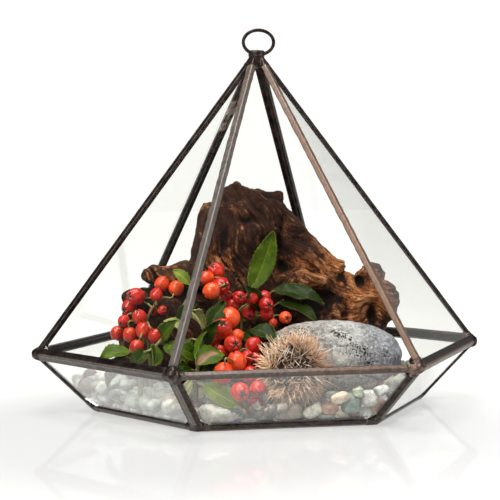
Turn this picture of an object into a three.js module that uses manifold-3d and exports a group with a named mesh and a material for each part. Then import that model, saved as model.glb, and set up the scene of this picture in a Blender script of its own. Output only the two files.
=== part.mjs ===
// A glass plant terrarium. Six sloping panes would make a pyramid on a low
// six-sided tray, but the front one is left out, so that a hand can reach in.
// Metal channels hold every edge of the glass and are soldered at the corners.
// Inside, driftwood, a grey stone and a chestnut burr sit in mixed gravel with
// three bunches of berries and three leafy twigs.
//
// Millimetres, +Z up. The origin is the middle of the base, and the open front
// faces -Y. Corners and sides are numbered 1 to 6 anticlockwise from +X, seen
// from above. Side 5 is the open front.
import * as THREE from "three";
import { mergeVertices } from "three/addons/utils/BufferGeometryUtils.js";
import Module from "manifold-3d";

const wasm = await Module();
wasm.setup();

// ---- Driving dimensions ----
const SIDES = 6;
const OPEN_SIDE = 4; // counted from 0
const GIRDLE_RADIUS = 119.2; // axis to glass corner at the widest line
const GIRDLE_HEIGHT = 30.8;
const BASE_RADIUS = 88.4;
const APEX_HEIGHT = 188.8;
const GLASS = 2; // thickness of every pane
const LIP = 0.7; // metal over each face of the glass
const RIB_FACE = 3.4; // how far each channel covers its pane
const GIRDLE_FACE = 4;
const STRUT_FACE = 3.4;
const BASE_FACE = 3.4;
const OPEN_EDGE = 0.9; // metal past the glass line beside the open front
const SEAM = 1; // flat of solder along a folded edge
const EDGE_INSET = 2.4; // glass edge to the corner line, inside the channel
const GAP = 0.3; // between pieces that touch
const GIRDLE_REACH = 6.6; // length of each channel end fused in a corner joint
const BASE_REACH = 5.6;
const CAP_REACH = 11;
const JOINT_LUMP = 3.7; // radius of the solder at a girdle corner
const BASE_LUMP = 3;
const CAP_RADIUS = 4.3;
const CAP_FOOT = 185.2;
const CAP_TOP = 188.3;
const RING_HALF_WIDTH = 8.1; // to the middle of the wire
const RING_HALF_HEIGHT = 6.4;
const RING_WIRE = 0.75; // radius
const RING_HEIGHT = 192.4;
const CLEAR = 0.4; // between things that rest on each other inside
const WALL_CLEAR = 3.5; // outside of the glass to anything inside it
const BLADE = 0.8; // thickness of a leaf
const PEDICEL = 0.8; // radius of a berry stalk

const SEED = 11;

// ---- Colours and finishes ----
const finish = (color, roughness, metalness = 0) =>
  new THREE.MeshStandardMaterial({ color, roughness, metalness });
const MATERIALS = {
  glass: new THREE.MeshStandardMaterial({
    color: "#dfe8e0",
    roughness: 0.05,
    metalness: 0,
    transparent: true,
    opacity: 0.35,
  }),
  frame: finish("#3a302c", 0.45, 0.9),
  gravel: finish("#b9b0a2", 0.7),
  driftwood: finish("#5c3a24", 0.85),
  stone: finish("#a9adb2", 0.9),
  burr: finish("#c2a27c", 0.85),
  berry: finish("#d8321c", 0.3),
  leaf: finish("#4d7a24", 0.45),
};

// ---- Small helpers ----
const vec = (x, y, z) => new THREE.Vector3(x, y, z);

// A repeatable stream of numbers from 0 to 1.
function randomFrom(seed) {
  let state = seed * 2654435761;
  return () => {
    state = (state + 0x6d2b79f5) | 0;
    let t = Math.imul(state ^ (state >>> 15), 1 | state);
    t = (t + Math.imul(t ^ (t >>> 7), 61 | t)) ^ t;
    return ((t ^ (t >>> 14)) >>> 0) / 4294967296;
  };
}

function bareGeometry(geometry) {
  const bare = new THREE.BufferGeometry();
  const source = geometry.index ? geometry.toNonIndexed() : geometry;
  bare.setAttribute("position", source.getAttribute("position"));
  return mergeVertices(bare, 1e-4);
}

function solidOf(geometry) {
  const merged = bareGeometry(geometry);
  const triVerts = new Uint32Array(merged.index.array);
  const vertProperties = new Float32Array(merged.attributes.position.array);
  const mesh = new wasm.Mesh({ numProp: 3, vertProperties, triVerts });
  mesh.merge();
  return new wasm.Manifold(mesh);
}

function geometryOf(solid) {
  const mesh = solid.getMesh();
  const geometry = new THREE.BufferGeometry();
  geometry.setAttribute("position", new THREE.BufferAttribute(mesh.vertProperties, 3));
  geometry.setIndex(new THREE.BufferAttribute(mesh.triVerts, 1));
  const faceted = geometry.toNonIndexed();
  faceted.computeVertexNormals();
  return faceted;
}

const joined = (solids) => solids.reduce((whole, next) => whole.add(next));
const cutBy = (solid, cutters) => cutters.reduce((rest, next) => rest.subtract(next), solid);

function largestBody(solid) {
  const bodies = solid.decompose();
  return bodies.reduce((best, next) => (next.volume() > best.volume() ? next : best));
}

const group = new THREE.Group();

function place(name, solid, material) {
  const mesh = new THREE.Mesh(geometryOf(solid), material);
  mesh.name = name;
  group.add(mesh);
}

// ---- The glass body as corners, faces and edges ----
const APEX = vec(0, 0, APEX_HEIGHT);
const wrap = (k) => (k + SIDES) % SIDES;

function cornerAt(radius, k, z) {
  const angle = (k * 2 * Math.PI) / SIDES;
  return vec(radius * Math.cos(angle), radius * Math.sin(angle), z);
}
const girdleCorner = (k) => cornerAt(GIRDLE_RADIUS, k, GIRDLE_HEIGHT);
const baseCorner = (k) => cornerAt(BASE_RADIUS, k, LIP);

function normalOf([a, b, c]) {
  return b.clone().sub(a).cross(c.clone().sub(a)).normalize();
}

// Faces list their corners anticlockwise, seen from outside. Each corner has
// the reach of its joint and the widest channel beside it.
function faceOf(corners, reaches, channels) {
  return { corners, reaches, channels, normal: normalOf(corners) };
}

const upperFaces = [...Array(SIDES).keys()].map((k) =>
  faceOf(
    [girdleCorner(k), girdleCorner(k + 1), APEX],
    [GIRDLE_REACH, GIRDLE_REACH, CAP_REACH],
    [GIRDLE_FACE, GIRDLE_FACE, RIB_FACE],
  ),
);
const lowerFaces = [...Array(SIDES).keys()].map((k) =>
  faceOf(
    [girdleCorner(k), baseCorner(k), baseCorner(k + 1), girdleCorner(k + 1)],
    [GIRDLE_REACH, BASE_REACH, BASE_REACH, GIRDLE_REACH],
    [GIRDLE_FACE, BASE_FACE, BASE_FACE, GIRDLE_FACE],
  ),
);
const baseFace = faceOf(
  [...Array(SIDES).keys()].map((k) => baseCorner(-k)),
  Array(SIDES).fill(BASE_REACH),
  Array(SIDES).fill(BASE_FACE),
);

// A pane fills its face, inset into the channels, with each corner cut off
// square to its bisector where the joint is.
function pane(face) {
  const { corners, reaches, channels, normal } = face;
  const across = corners[1].clone().sub(corners[0]).normalize();
  const up = normal.clone().cross(across);
  const flat = corners.map((c) => {
    const offset = c.clone().sub(corners[0]);
    return new THREE.Vector2(offset.dot(across), offset.dot(up));
  });
  const outline = [];
  flat.forEach((corner, i) => {
    const next = flat[(i + 1) % flat.length].clone().sub(corner).normalize();
    const last = flat[(i + flat.length - 1) % flat.length].clone().sub(corner).normalize();
    const half = Math.acos(next.dot(last)) / 2;
    const cut = (reaches[i] + GAP) * Math.cos(half) + (channels[i] + GAP) * Math.sin(half);
    const along = (cut - EDGE_INSET * Math.sin(half)) / Math.cos(half);
    const lastInward = new THREE.Vector2(last.y, -last.x);
    const nextInward = new THREE.Vector2(-next.y, next.x);
    outline.push(corner.clone().addScaledVector(last, along).addScaledVector(lastInward, EDGE_INSET));
    outline.push(corner.clone().addScaledVector(next, along).addScaledVector(nextInward, EDGE_INSET));
  });
  const shape = new THREE.Shape(outline);
  const geometry = new THREE.ExtrudeGeometry(shape, { depth: GLASS, bevelEnabled: false });
  const origin = corners[0].clone().addScaledVector(normal, -GLASS);
  geometry.applyMatrix4(new THREE.Matrix4().makeBasis(across, up, normal).setPosition(origin));
  return solidOf(geometry);
}

// An edge runs between two corners. left is the face that lists them in this
// order, right the other, and a missing face leaves a plain U channel.
function edgeOf(from, to, left, right, width) {
  return { from, to, left, right, width, length: from.distanceTo(to) };
}
const shown = (k) => (wrap(k) === OPEN_SIDE ? null : upperFaces[wrap(k)]);
const ribs = [...Array(SIDES).keys()].map((k) =>
  edgeOf(girdleCorner(k), APEX, shown(k - 1), shown(k), RIB_FACE),
);
const girdle = [...Array(SIDES).keys()].map((k) =>
  edgeOf(girdleCorner(k), girdleCorner(k + 1), shown(k), lowerFaces[k], GIRDLE_FACE),
);
const struts = [...Array(SIDES).keys()].map((k) =>
  edgeOf(baseCorner(k), girdleCorner(k), lowerFaces[wrap(k - 1)], lowerFaces[k], STRUT_FACE),
);
const baseEdges = [...Array(SIDES).keys()].map((k) =>
  edgeOf(baseCorner(k), baseCorner(k + 1), lowerFaces[k], baseFace, BASE_FACE),
);

// The section of a channel, as points round the edge line: a folded strip over
// two panes with a flat of solder on its ridge, or a strip that closes one.
// With slots it leaves room for the glass, and without them it is solid.
function channelSection({ from, to, left, right, width }, slotted) {
  const along = to.clone().sub(from).normalize();
  const depth = GLASS + LIP;
  const strip = (face, turn) => ({
    out: face.normal,
    inward: face.normal.clone().cross(along).multiplyScalar(turn),
  });
  const on = (s, inward, out) =>
    s.inward.clone().multiplyScalar(inward).addScaledVector(s.out, out);
  const slotFloor = EDGE_INSET - GAP;
  const mouth = (s) => {
    const slot = [
      on(s, width, GAP),
      on(s, slotFloor, GAP),
      on(s, slotFloor, -GLASS - GAP),
      on(s, width, -GLASS - GAP),
    ];
    return [on(s, width, LIP), ...(slotted ? slot : []), on(s, width, -depth)];
  };
  if (left && right) {
    const l = strip(left, 1);
    const r = strip(right, -1);
    const ridge = l.out.clone().add(r.out).normalize();
    const outer = ridge.clone().multiplyScalar(LIP / ridge.dot(l.out));
    const inner = ridge.clone().multiplyScalar(-depth / ridge.dot(l.out));
    return [
      outer.clone().addScaledVector(r.inward, SEAM),
      ...mouth(r),
      inner,
      ...mouth(l).reverse(),
      outer.clone().addScaledVector(l.inward, SEAM),
    ];
  }
  const s = left ? strip(left, 1) : strip(right, -1);
  return [on(s, -OPEN_EDGE, LIP), ...mouth(s), on(s, -OPEN_EDGE, -depth)];
}

// A length of channel from start to end along its edge, in millimetres.
function channel(edge, start, end, slotted = false) {
  const along = edge.to.clone().sub(edge.from).normalize();
  const x = (edge.left || edge.right).normal.clone();
  const y = along.clone().cross(x);
  const flat = channelSection(edge, slotted).map((p) => new THREE.Vector2(p.dot(x), p.dot(y)));
  const shape = new THREE.Shape(flat);
  const geometry = new THREE.ExtrudeGeometry(shape, { depth: end - start, bevelEnabled: false });
  const origin = edge.from.clone().addScaledVector(along, start);
  geometry.applyMatrix4(new THREE.Matrix4().makeBasis(x, y, along).setPosition(origin));
  return solidOf(geometry);
}

// A channel between its two joints, slotted for the panes that it holds.
const slottedChannel = (edge, startReach, endReach) =>
  channel(edge, startReach + GAP, edge.length - endReach - GAP, true);

const solderLump = (centre, radius) => {
  const geometry = new THREE.IcosahedronGeometry(radius);
  geometry.translate(centre.x, centre.y, centre.z);
  return solidOf(geometry);
};

// A corner joint: the ends of the channels that meet there, and solder.
function girdleJoint(k) {
  const inward = girdleCorner(k).multiply(vec(1, 1, 0)).normalize().multiplyScalar(-1.2);
  return joined([
    channel(ribs[k], 0, GIRDLE_REACH),
    channel(girdle[k], 0, GIRDLE_REACH),
    channel(girdle[wrap(k - 1)], girdle[k].length - GIRDLE_REACH, girdle[k].length),
    channel(struts[k], struts[k].length - GIRDLE_REACH, struts[k].length),
    solderLump(girdleCorner(k).add(inward), JOINT_LUMP),
  ]);
}

function baseJoint(k) {
  const centre = baseCorner(k).multiply(vec(0.985, 0.985, 0)).setZ(BASE_LUMP);
  return joined([
    channel(struts[k], 0, BASE_REACH),
    channel(baseEdges[k], 0, BASE_REACH),
    channel(baseEdges[wrap(k - 1)], baseEdges[k].length - BASE_REACH, baseEdges[k].length),
    solderLump(centre, BASE_LUMP),
  ]);
}

// The hanging ring: an upright oval of wire.
function hangingRing(grow = 0) {
  const geometry = new THREE.TorusGeometry(RING_HALF_WIDTH, RING_WIRE + grow, 6, 20);
  geometry.scale(1, RING_HALF_HEIGHT / RING_HALF_WIDTH, 1);
  geometry.rotateX(Math.PI / 2);
  geometry.translate(0, 0, RING_HEIGHT);
  return solidOf(geometry);
}

// The cap: the six ribs' upper ends fused into a small pyramid with square
// ends for them to meet, under a round button of solder that holds the ring.
function apexCap() {
  const down = new THREE.Vector2(GIRDLE_RADIUS, GIRDLE_HEIGHT - APEX_HEIGHT).normalize();
  const out = new THREE.Vector2(-down.y, down.x);
  const fold = Math.cos(upperFaces[0].normal.angleTo(upperFaces[1].normal) / 2);
  const onRib = (along, away) =>
    new THREE.Vector2(0, APEX_HEIGHT).addScaledVector(down, along).addScaledVector(out, away / fold);
  const foot = onRib(CAP_REACH, -GLASS - LIP);
  const pyramid = [
    new THREE.Vector2(0, foot.y),
    foot,
    onRib(CAP_REACH, LIP),
    new THREE.Vector2(0, CAP_TOP - 1),
  ];
  const button = [
    [0, CAP_FOOT - 2],
    [CAP_RADIUS, CAP_FOOT],
    [CAP_RADIUS, CAP_TOP - 0.9],
    [CAP_RADIUS - 0.9, CAP_TOP - 0.2],
    [0, CAP_TOP],
  ].map(([r, z]) => new THREE.Vector2(r, z));
  const turned = (profile, sides) =>
    solidOf(new THREE.LatheGeometry(profile, sides, Math.PI / SIDES).rotateX(Math.PI / 2));
  return largestBody(turned(pyramid, SIDES).add(turned(button, 12)).subtract(hangingRing(GAP)));
}

// ---- Inside: shapes that grew or were worn ----

// A smooth bumpy value from -1 to 1 for a direction or place.
function bump(x, y, z, seed) {
  return (
    (Math.sin(2.1 * x + 1.7 * seed) +
      Math.sin(2.7 * y - 1.3 * seed + x) +
      Math.sin(3.1 * z + 0.9 * seed - y)) /
    3
  );
}

// A stone or lump: an icosahedron's points pushed in and out by the bumps,
// then stretched, turned and set down. Square over 2 makes it blockier.
function boulder(centre, radii, options = {}) {
  const { turn = [0, 0, 0], rough = 0.1, seed = 1, detail = 1, square = 2, grow = 0 } = options;
  const geometry = bareGeometry(new THREE.IcosahedronGeometry(1, detail));
  const points = geometry.attributes.position;
  const rotation = new THREE.Euler(...turn);
  for (let i = 0; i < points.count; i++) {
    const p = new THREE.Vector3().fromBufferAttribute(points, i);
    const power = Math.abs(p.x) ** square + Math.abs(p.y) ** square + Math.abs(p.z) ** square;
    const swell = power ** (-1 / square) * (1 + rough * bump(2 * p.x, 2 * p.y, 2 * p.z, seed));
    p.multiply(vec(...radii.map((r) => r * swell + grow)));
    p.applyEuler(rotation).add(vec(...centre));
    points.setXYZ(i, p.x, p.y, p.z);
  }
  return solidOf(geometry);
}

// A limb, stem or stalk: a cylinder bent along a smooth path, with a radius
// that follows the list, flattened by squash and roughened by the bumps.
function limb(path, radii, options = {}) {
  const { sides = 5, rings = 2, squash = 1, rough = 0, seed = 1, grow = 0 } = options;
  const curve = new THREE.CatmullRomCurve3(path.map((p) => vec(...p)));
  const chord = vec(...path[path.length - 1]).sub(vec(...path[0]));
  const upright = Math.abs(chord.z) > Math.hypot(chord.x, chord.y);
  const reference = upright ? vec(0, 1, 0) : vec(0, 0, 1);
  const geometry = bareGeometry(new THREE.CylinderGeometry(1, 1, 1, sides, rings));
  const points = geometry.attributes.position;
  for (let i = 0; i < points.count; i++) {
    const p = new THREE.Vector3().fromBufferAttribute(points, i);
    const t = p.y + 0.5;
    const tangent = curve.getTangent(t);
    const side = tangent.clone().cross(reference).normalize();
    const up = side.clone().cross(tangent);
    const step = Math.min(t * (radii.length - 1), radii.length - 1.001);
    const k = Math.floor(step);
    const radius = THREE.MathUtils.lerp(radii[k], radii[k + 1], step - k);
    const swell = radius * (1 + rough * bump(3 * p.x, 6 * t, 3 * p.z, seed)) + grow;
    const depth = upright ? [1, squash] : [squash, 1];
    const place = curve
      .getPoint(t)
      .addScaledVector(side, p.x * swell * depth[0])
      .addScaledVector(up, p.z * swell * depth[1])
      .addScaledVector(tangent, Math.sign(p.y) * (Math.abs(p.y) === 0.5 ? grow : 0));
    points.setXYZ(i, place.x, place.y, place.z);
  }
  return solidOf(geometry);
}

// The room for the contents: the glass body shrunk by a distance on every
// side, as a six-sided turned profile.
function room(inset) {
  const apothem = Math.cos(Math.PI / SIDES);
  const line = ([r1, z1], [r2, z2]) => {
    const out = new THREE.Vector2(z2 - z1, r1 - r2).normalize();
    return { out, reach: out.x * r1 + out.y * z1 - inset };
  };
  const lower = line([BASE_RADIUS * apothem, LIP], [GIRDLE_RADIUS * apothem, GIRDLE_HEIGHT]);
  const upper = line([GIRDLE_RADIUS * apothem, GIRDLE_HEIGHT], [0, APEX_HEIGHT]);
  const floor = LIP + GLASS + GAP;
  const cross = lower.out.x * upper.out.y - upper.out.x * lower.out.y;
  const widest = [
    (lower.reach * upper.out.y - upper.reach * lower.out.y) / cross,
    (lower.out.x * upper.reach - upper.out.x * lower.reach) / cross,
  ];
  const overBar = floor + LIP + GAP;
  const profile = [
    [0, floor],
    [BASE_RADIUS * apothem - BASE_FACE - 1, floor],
    [(lower.reach - lower.out.y * overBar) / lower.out.x, overBar],
    widest,
    [0, upper.reach / upper.out.y],
  ].map(([r, z]) => new THREE.Vector2(r / apothem, z));
  const geometry = new THREE.LatheGeometry(profile, SIDES, Math.PI / SIDES);
  geometry.rotateX(Math.PI / 2);
  return solidOf(geometry);
}

// Driftwood: a broad upright hump, a right arm that ends in a knob, two left
// branches, and roots that reach the gravel.
function driftwood(grow = 0) {
  const wood = { sides: 9, rings: 6, squash: 0.75, rough: 0.16, grow };
  return joined([
    limb([[-8, 22, 8], [-5, 20, 50], [-1, 18, 84], [-6, 17, 106], [-5, 17, 117]], [22, 26, 28, 24, 12], {
      ...wood,
      rings: 8,
      seed: 1,
    }),
    limb([[-4, 18, 70], [30, 14, 63], [52, 11, 58], [70, 9, 55], [80, 8, 51]], [14, 17, 13, 17, 8], {
      ...wood,
      rings: 8,
      seed: 2,
    }),
    limb([[68, 9, 56], [70, 9, 36], [64, 8, 14]], [14, 12, 9], { ...wood, rings: 3, seed: 3 }),
    limb([[32, 12, 66], [34, 9, 40], [28, 10, 8]], [21, 20, 13], { ...wood, rings: 3, seed: 4 }),
    limb([[-18, 14, 70], [-44, 9, 73], [-66, 4, 72]], [15, 9, 5], { ...wood, rings: 4, seed: 5 }),
    limb([[-28, 14, 36], [-58, 9, 50], [-70, 6, 55], [-76, 5, 54]], [20, 16, 11, 6], {
      ...wood,
      rings: 5,
      seed: 6,
    }),
    limb([[-52, 10, 46], [-56, 9, 10]], [13, 9], { ...wood, rings: 2, seed: 7 }),
    boulder([36, 5, 59], [18, 13, 14], { rough: 0.2, seed: 4, grow }),
    boulder([54, 9, 44], [19, 12, 18], { rough: 0.2, seed: 6, grow }),
  ]);
}

// The grey stone: a worn cobble, lower at its right end.
function greyStone(grow = 0) {
  return boulder([32, -36, 28.5], [36, 21, 19], {
    turn: [0, 0.06, 0.05],
    rough: 0.06,
    seed: 3,
    detail: 2,
    square: 2.4,
    grow,
  });
}

// The chestnut burr: a core with straight spines that stand out evenly all
// round it, each one a thin three-sided cone with its root sunk in.
const BURR_CENTRE = [7, -71, 27.5];
const BURR_REACH = [20.5, 17.5, 19];
const BURR_CORE = 0.6; // share of the reach
const BURR_SPINES = 130;

function chestnutBurr() {
  const random = randomFrom(SEED);
  const core = BURR_REACH.map((r) => r * BURR_CORE);
  const spines = [...Array(BURR_SPINES).keys()].map((i) => {
    const height = 1 - (2 * (i + 0.5)) / BURR_SPINES;
    const around = i * Math.PI * (3 - Math.sqrt(5));
    const level = Math.sqrt(1 - height * height);
    const out = vec(level * Math.cos(around), level * Math.sin(around), height);
    const root = out.clone().multiply(vec(...core)).multiplyScalar(0.8);
    const tip = out.clone().add(vec(random() - 0.5, random() - 0.5, random() - 0.5).multiplyScalar(0.45));
    tip.normalize().multiply(vec(...BURR_REACH)).multiplyScalar(0.88 + 0.12 * random());
    const length = tip.distanceTo(root);
    const cone = new THREE.ConeGeometry(0.75, length, 3);
    cone.translate(0, length / 2, 0);
    cone.applyQuaternion(new THREE.Quaternion().setFromUnitVectors(vec(0, 1, 0), tip.sub(root).normalize()));
    cone.translate(root.x + BURR_CENTRE[0], root.y + BURR_CENTRE[1], root.z + BURR_CENTRE[2]);
    return solidOf(cone);
  });
  return joined([boulder(BURR_CENTRE, core, { rough: 0.05 }), ...spines]);
}

const burrSpace = () => boulder(BURR_CENTRE, BURR_REACH, { rough: 0, detail: 1, grow: 1.5 });

// A bunch of berries: each berry hangs on a stalk from the nearest point of
// the bunch's own stem, which stands in the gravel.
function berryBunch({ stem, berries }, grow = 0) {
  const pieces = [limb(stem, [1.3, 1.1], { rings: 4, grow })];
  for (const [x, y, z, radius] of berries) {
    const berry = new THREE.SphereGeometry(radius + grow, 7, 4);
    berry.rotateX(Math.PI / 2);
    berry.translate(x, y, z);
    pieces.push(solidOf(berry));
    const centre = vec(x, y, z);
    const joint = stem
      .slice(1)
      .map((p) => vec(...p))
      .reduce((best, next) => (next.distanceTo(centre) < best.distanceTo(centre) ? next : best));
    pieces.push(limb([joint.toArray(), [x, y, z]], [PEDICEL, PEDICEL], { sides: 3, rings: 1, grow }));
  }
  return joined(pieces);
}

// Each berry is x, y, z and its radius. Each stem starts in the gravel.
const BUNCHES = {
  left: {
    stem: [[-58, -12, 5], [-60, -12, 34], [-61, -12, 47], [-56, -11, 57]],
    berries: [
      [-66, -8, 60, 4.8], [-69, -2, 54, 4.2], [-52, -6, 66, 4], [-45, -10, 64, 4.2], [-56, -14, 61, 3.5],
      [-65, -16, 50, 3.9], [-76, -8, 41, 3.7], [-70, -16, 41, 3.9], [-64, -24, 44, 4.1],
      [-58, -30, 41, 4.1], [-68, -30, 36, 3.8], [-53, -14, 53, 2.6], [-57, -8, 52, 2.6],
    ],
  },
  upper: {
    stem: [[-14, -14, 5], [-13, -15, 34], [-13, -16, 49], [-24, -18, 65]],
    berries: [
      [-25, -14, 73, 4.5], [-31, -20, 70, 3.9], [-24, -24, 66, 4.7], [-30, -30, 64, 4.4],
      [-15, -26, 60, 3.6], [-8, -22, 59, 3.7], [0, -16, 59, 3.4], [-1, -26, 56, 3.9], [0, -22, 51, 3.7],
      [-9, -18, 51, 3.7], [-18, -20, 55, 3.7], [9, -26, 49, 3.4], [3, -24, 46, 2.4],
    ],
  },
  centre: {
    stem: [[-20, -54, 4.5], [-20, -60, 22], [-20, -55, 34], [-23, -49, 42]],
    berries: [
      [-22, -40, 51, 5.4], [-28, -52, 47, 5.3], [-20, -50, 43, 3.3], [-24, -60, 40, 4.5],
      [-12, -50, 38, 4.3], [-23, -66, 32, 5], [-31, -74, 28, 4.9], [-12, -56, 31, 3.8],
      [-31, -44, 41, 4.1], [-24, -81, 20, 4.9], [-14, -73, 20, 4.2], [-33, -69, 22, 3.5], [-15, -72, 12, 3.9],
    ],
  },
};

// A leaf: a thin blade from base to tip, widest past its middle, folded along
// the midrib, arched along its length, with a toothed edge. Both faces are
// split into the same triangles.
const LEAF_STEPS = 6;

function leafBlade({ base, tip, face, width, arch = 0.12, fold = 0.25 }, grow = 0) {
  const start = vec(...base);
  const along = vec(...tip).sub(start);
  const length = along.length();
  along.normalize();
  const side = along.clone().cross(vec(...face)).normalize();
  const normal = side.clone().cross(along);
  const half = BLADE / 2 + grow;
  const corners = [];
  for (let i = 0; i <= LEAF_STEPS; i++) {
    const u = i / LEAF_STEPS;
    const tooth = i % 2 ? 1 : 0.84;
    const spread = 0.35 + (width / 2) * tooth * Math.sin(Math.PI * u ** 0.85) ** 0.8 + grow;
    for (const s of [-1, 0, 1]) {
      const middle = start
        .clone()
        .addScaledVector(along, length * u + grow * Math.sign(u - 0.5))
        .addScaledVector(side, s * spread)
        .addScaledVector(normal, arch * length * 4 * u * (1 - u) + fold * spread * Math.abs(s));
      corners.push(middle.clone().addScaledVector(normal, half), middle.addScaledVector(normal, -half));
    }
  }
  const top = (i, j) => 2 * (3 * i + j);
  const faces = [];
  const quad = (a, b, c, d) => faces.push(a, b, c, a, c, d);
  for (let i = 0; i < LEAF_STEPS; i++) {
    for (const j of [0, 1]) {
      const [a, b, c, d] = [top(i, j), top(i, j + 1), top(i + 1, j + 1), top(i + 1, j)];
      quad(a, b, c, d);
      faces.push(a + 1, c + 1, b + 1, a + 1, d + 1, c + 1);
    }
    quad(top(i + 1, 0), top(i + 1, 0) + 1, top(i, 0) + 1, top(i, 0));
    quad(top(i, 2), top(i, 2) + 1, top(i + 1, 2) + 1, top(i + 1, 2));
  }
  for (const j of [0, 1]) {
    quad(top(0, j), top(0, j) + 1, top(0, j + 1) + 1, top(0, j + 1));
    quad(top(LEAF_STEPS, j + 1), top(LEAF_STEPS, j + 1) + 1, top(LEAF_STEPS, j) + 1, top(LEAF_STEPS, j));
  }
  const geometry = new THREE.BufferGeometry().setFromPoints(corners);
  geometry.setIndex(faces);
  return solidOf(geometry);
}

// A leafy twig: a stem from the gravel, with a short stalk from its nearest
// point to the base of each leaf.
function leafyTwig({ stem, leaves }, grow = 0) {
  const pieces = [limb(stem, [1.5, 1.1], { rings: 5, grow })];
  for (const leaf of leaves) {
    pieces.push(leafBlade(leaf, grow));
    const base = vec(...leaf.base);
    const joint = stem
      .map((p) => vec(...p))
      .reduce((best, next) => (next.distanceTo(base) < best.distanceTo(base) ? next : best));
    const heel = base.clone().lerp(vec(...leaf.tip), 0.12);
    pieces.push(limb([joint.toArray(), heel.toArray()], [0.8, 0.8], { sides: 3, rings: 1, grow }));
  }
  return joined(pieces);
}

const TWIGS = {
  left: {
    stem: [[-66, -36, 5], [-67, -38, 24], [-68, -36, 32], [-60, -36, 36], [-50, -28, 46], [-40, -20, 60]],
    leaves: [
      { base: [-71, -35, 37], tip: [-86, -38, 34], face: [-0.2, -0.5, 1], width: 10 },
      { base: [-74, -34, 32], tip: [-82, -31, 18], face: [-1, -0.6, 0.2], width: 9 },
      { base: [-52, -24, 49], tip: [-46, -33, 43], face: [0, -0.4, 1], width: 8 },
      { base: [-60, -37, 38], tip: [-62, -45, 28], face: [0.6, -0.6, 0.3], width: 8 },
      { base: [-54, -36, 38], tip: [-46, -48, 30], face: [-0.3, -0.4, 1], width: 9 },
      { base: [-39, -17, 66], tip: [-47, -13, 73], face: [0.3, -1, 0.5], width: 6 },
    ],
  },
  centre: {
    stem: [[-42, -58, 5], [-42, -58, 24], [-38, -56, 38], [-36, -53, 46]],
    leaves: [
      { base: [-36, -51, 47], tip: [-47, -58, 55], face: [0.3, -0.8, 0.6], width: 8 },
      { base: [-35, -64, 38], tip: [-47, -73, 33], face: [0.1, -0.6, 1], width: 11 },
      { base: [-37, -58, 46], tip: [-41, -68, 32], face: [-1, -0.3, 0.3], width: 8 },
      { base: [-43, -50, 42], tip: [-52, -54, 28], face: [-0.6, -0.9, 0.4], width: 9 },
      { base: [-41, -72, 23], tip: [-21, -77, 11], face: [0.1, -1, 0.35], width: 9, arch: 0.05 },
      { base: [-46, -70, 25], tip: [-54, -71, 14], face: [0, -1, 0.3], width: 5 },
    ],
  },
  right: {
    stem: [[5, -12, 5], [5, -12, 30], [4, -11, 48], [0, -10, 58]],
    leaves: [
      { base: [-6, -12, 63], tip: [6, -12, 93], face: [-0.25, -1, 0.2], width: 12, arch: -0.06 },
      { base: [5, -14, 62], tip: [30, -24, 54], face: [0.1, -0.7, 1], width: 11 },
      { base: [8, -16, 56], tip: [23, -31, 48], face: [0.2, -0.7, 0.8], width: 9 },
      { base: [-10, -32, 44], tip: [1, -41, 38], face: [-0.3, -0.6, 1], width: 11 },
      { base: [-13, -29, 42], tip: [-8, -43, 36], face: [-0.3, -0.5, 1], width: 9 },
    ],
  },
};

// ---- Gravel ----
const smooth = THREE.MathUtils.smoothstep;

// How high the gravel stands at a place: low at the front, where the burr and
// berries sit, and heaped against the right and left corners.
function gravelTop(x, y) {
  return 10 + 15 * smooth(x, 20, 88) * smooth(y, -75, -35) + 6 * smooth(-x, 45, 90) + 3 * smooth(y, -20, 40);
}

// How far the tray's inner side is from the axis at an angle and height.
function trayRadius(angle, z) {
  const sector = (2 * Math.PI) / SIDES;
  const fromMiddle = (((angle % sector) + sector) % sector) - sector / 2;
  const slope = (GIRDLE_RADIUS - BASE_RADIUS) / (GIRDLE_HEIGHT - LIP);
  const side = (BASE_RADIUS + slope * Math.min(z, GIRDLE_HEIGHT)) * Math.cos(sector / 2);
  return (side - WALL_CLEAR / Math.cos(0.7)) / Math.cos(fromMiddle);
}

// The bed under the pebbles: a low disc whose rim follows the tray.
const BED_DROP = 3.5; // bed below the tops of the pebbles

function gravelBed() {
  const floor = LIP + GLASS + GAP;
  const geometry = bareGeometry(new THREE.CylinderGeometry(1, 1, 1, 24, 1));
  const points = geometry.attributes.position;
  for (let i = 0; i < points.count; i++) {
    const [x, level, z] = [points.getX(i), points.getY(i), points.getZ(i)];
    const angle = Math.atan2(-z, x);
    const away = Math.hypot(x, z);
    const rim = trayRadius(angle, floor) - 3;
    const [px, py] = [Math.cos(angle) * away * rim, Math.sin(angle) * away * rim];
    points.setXYZ(i, px, py, level < 0 ? floor : gravelTop(px, py) - BED_DROP);
  }
  return solidOf(geometry);
}

// Pebbles: on the bed in a spiral that keeps them evenly apart, and along the
// tray's sides in rows that follow the slope of the glass.
const TOP_PEBBLES = 62;
const ROW_PEBBLES = 5;
const PEBBLE = 4.6; // usual radius

function pebble(x, y, z, random, size = PEBBLE) {
  const radii = [0.9, 0.75, 0.6].map((share) => size * share * (0.8 + 0.5 * random()));
  const turn = [random() - 0.5, random() - 0.5, 6 * random()];
  return boulder([x, y, z], radii, { turn, rough: 0.3, seed: 9 * random(), detail: 0 });
}

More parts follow.
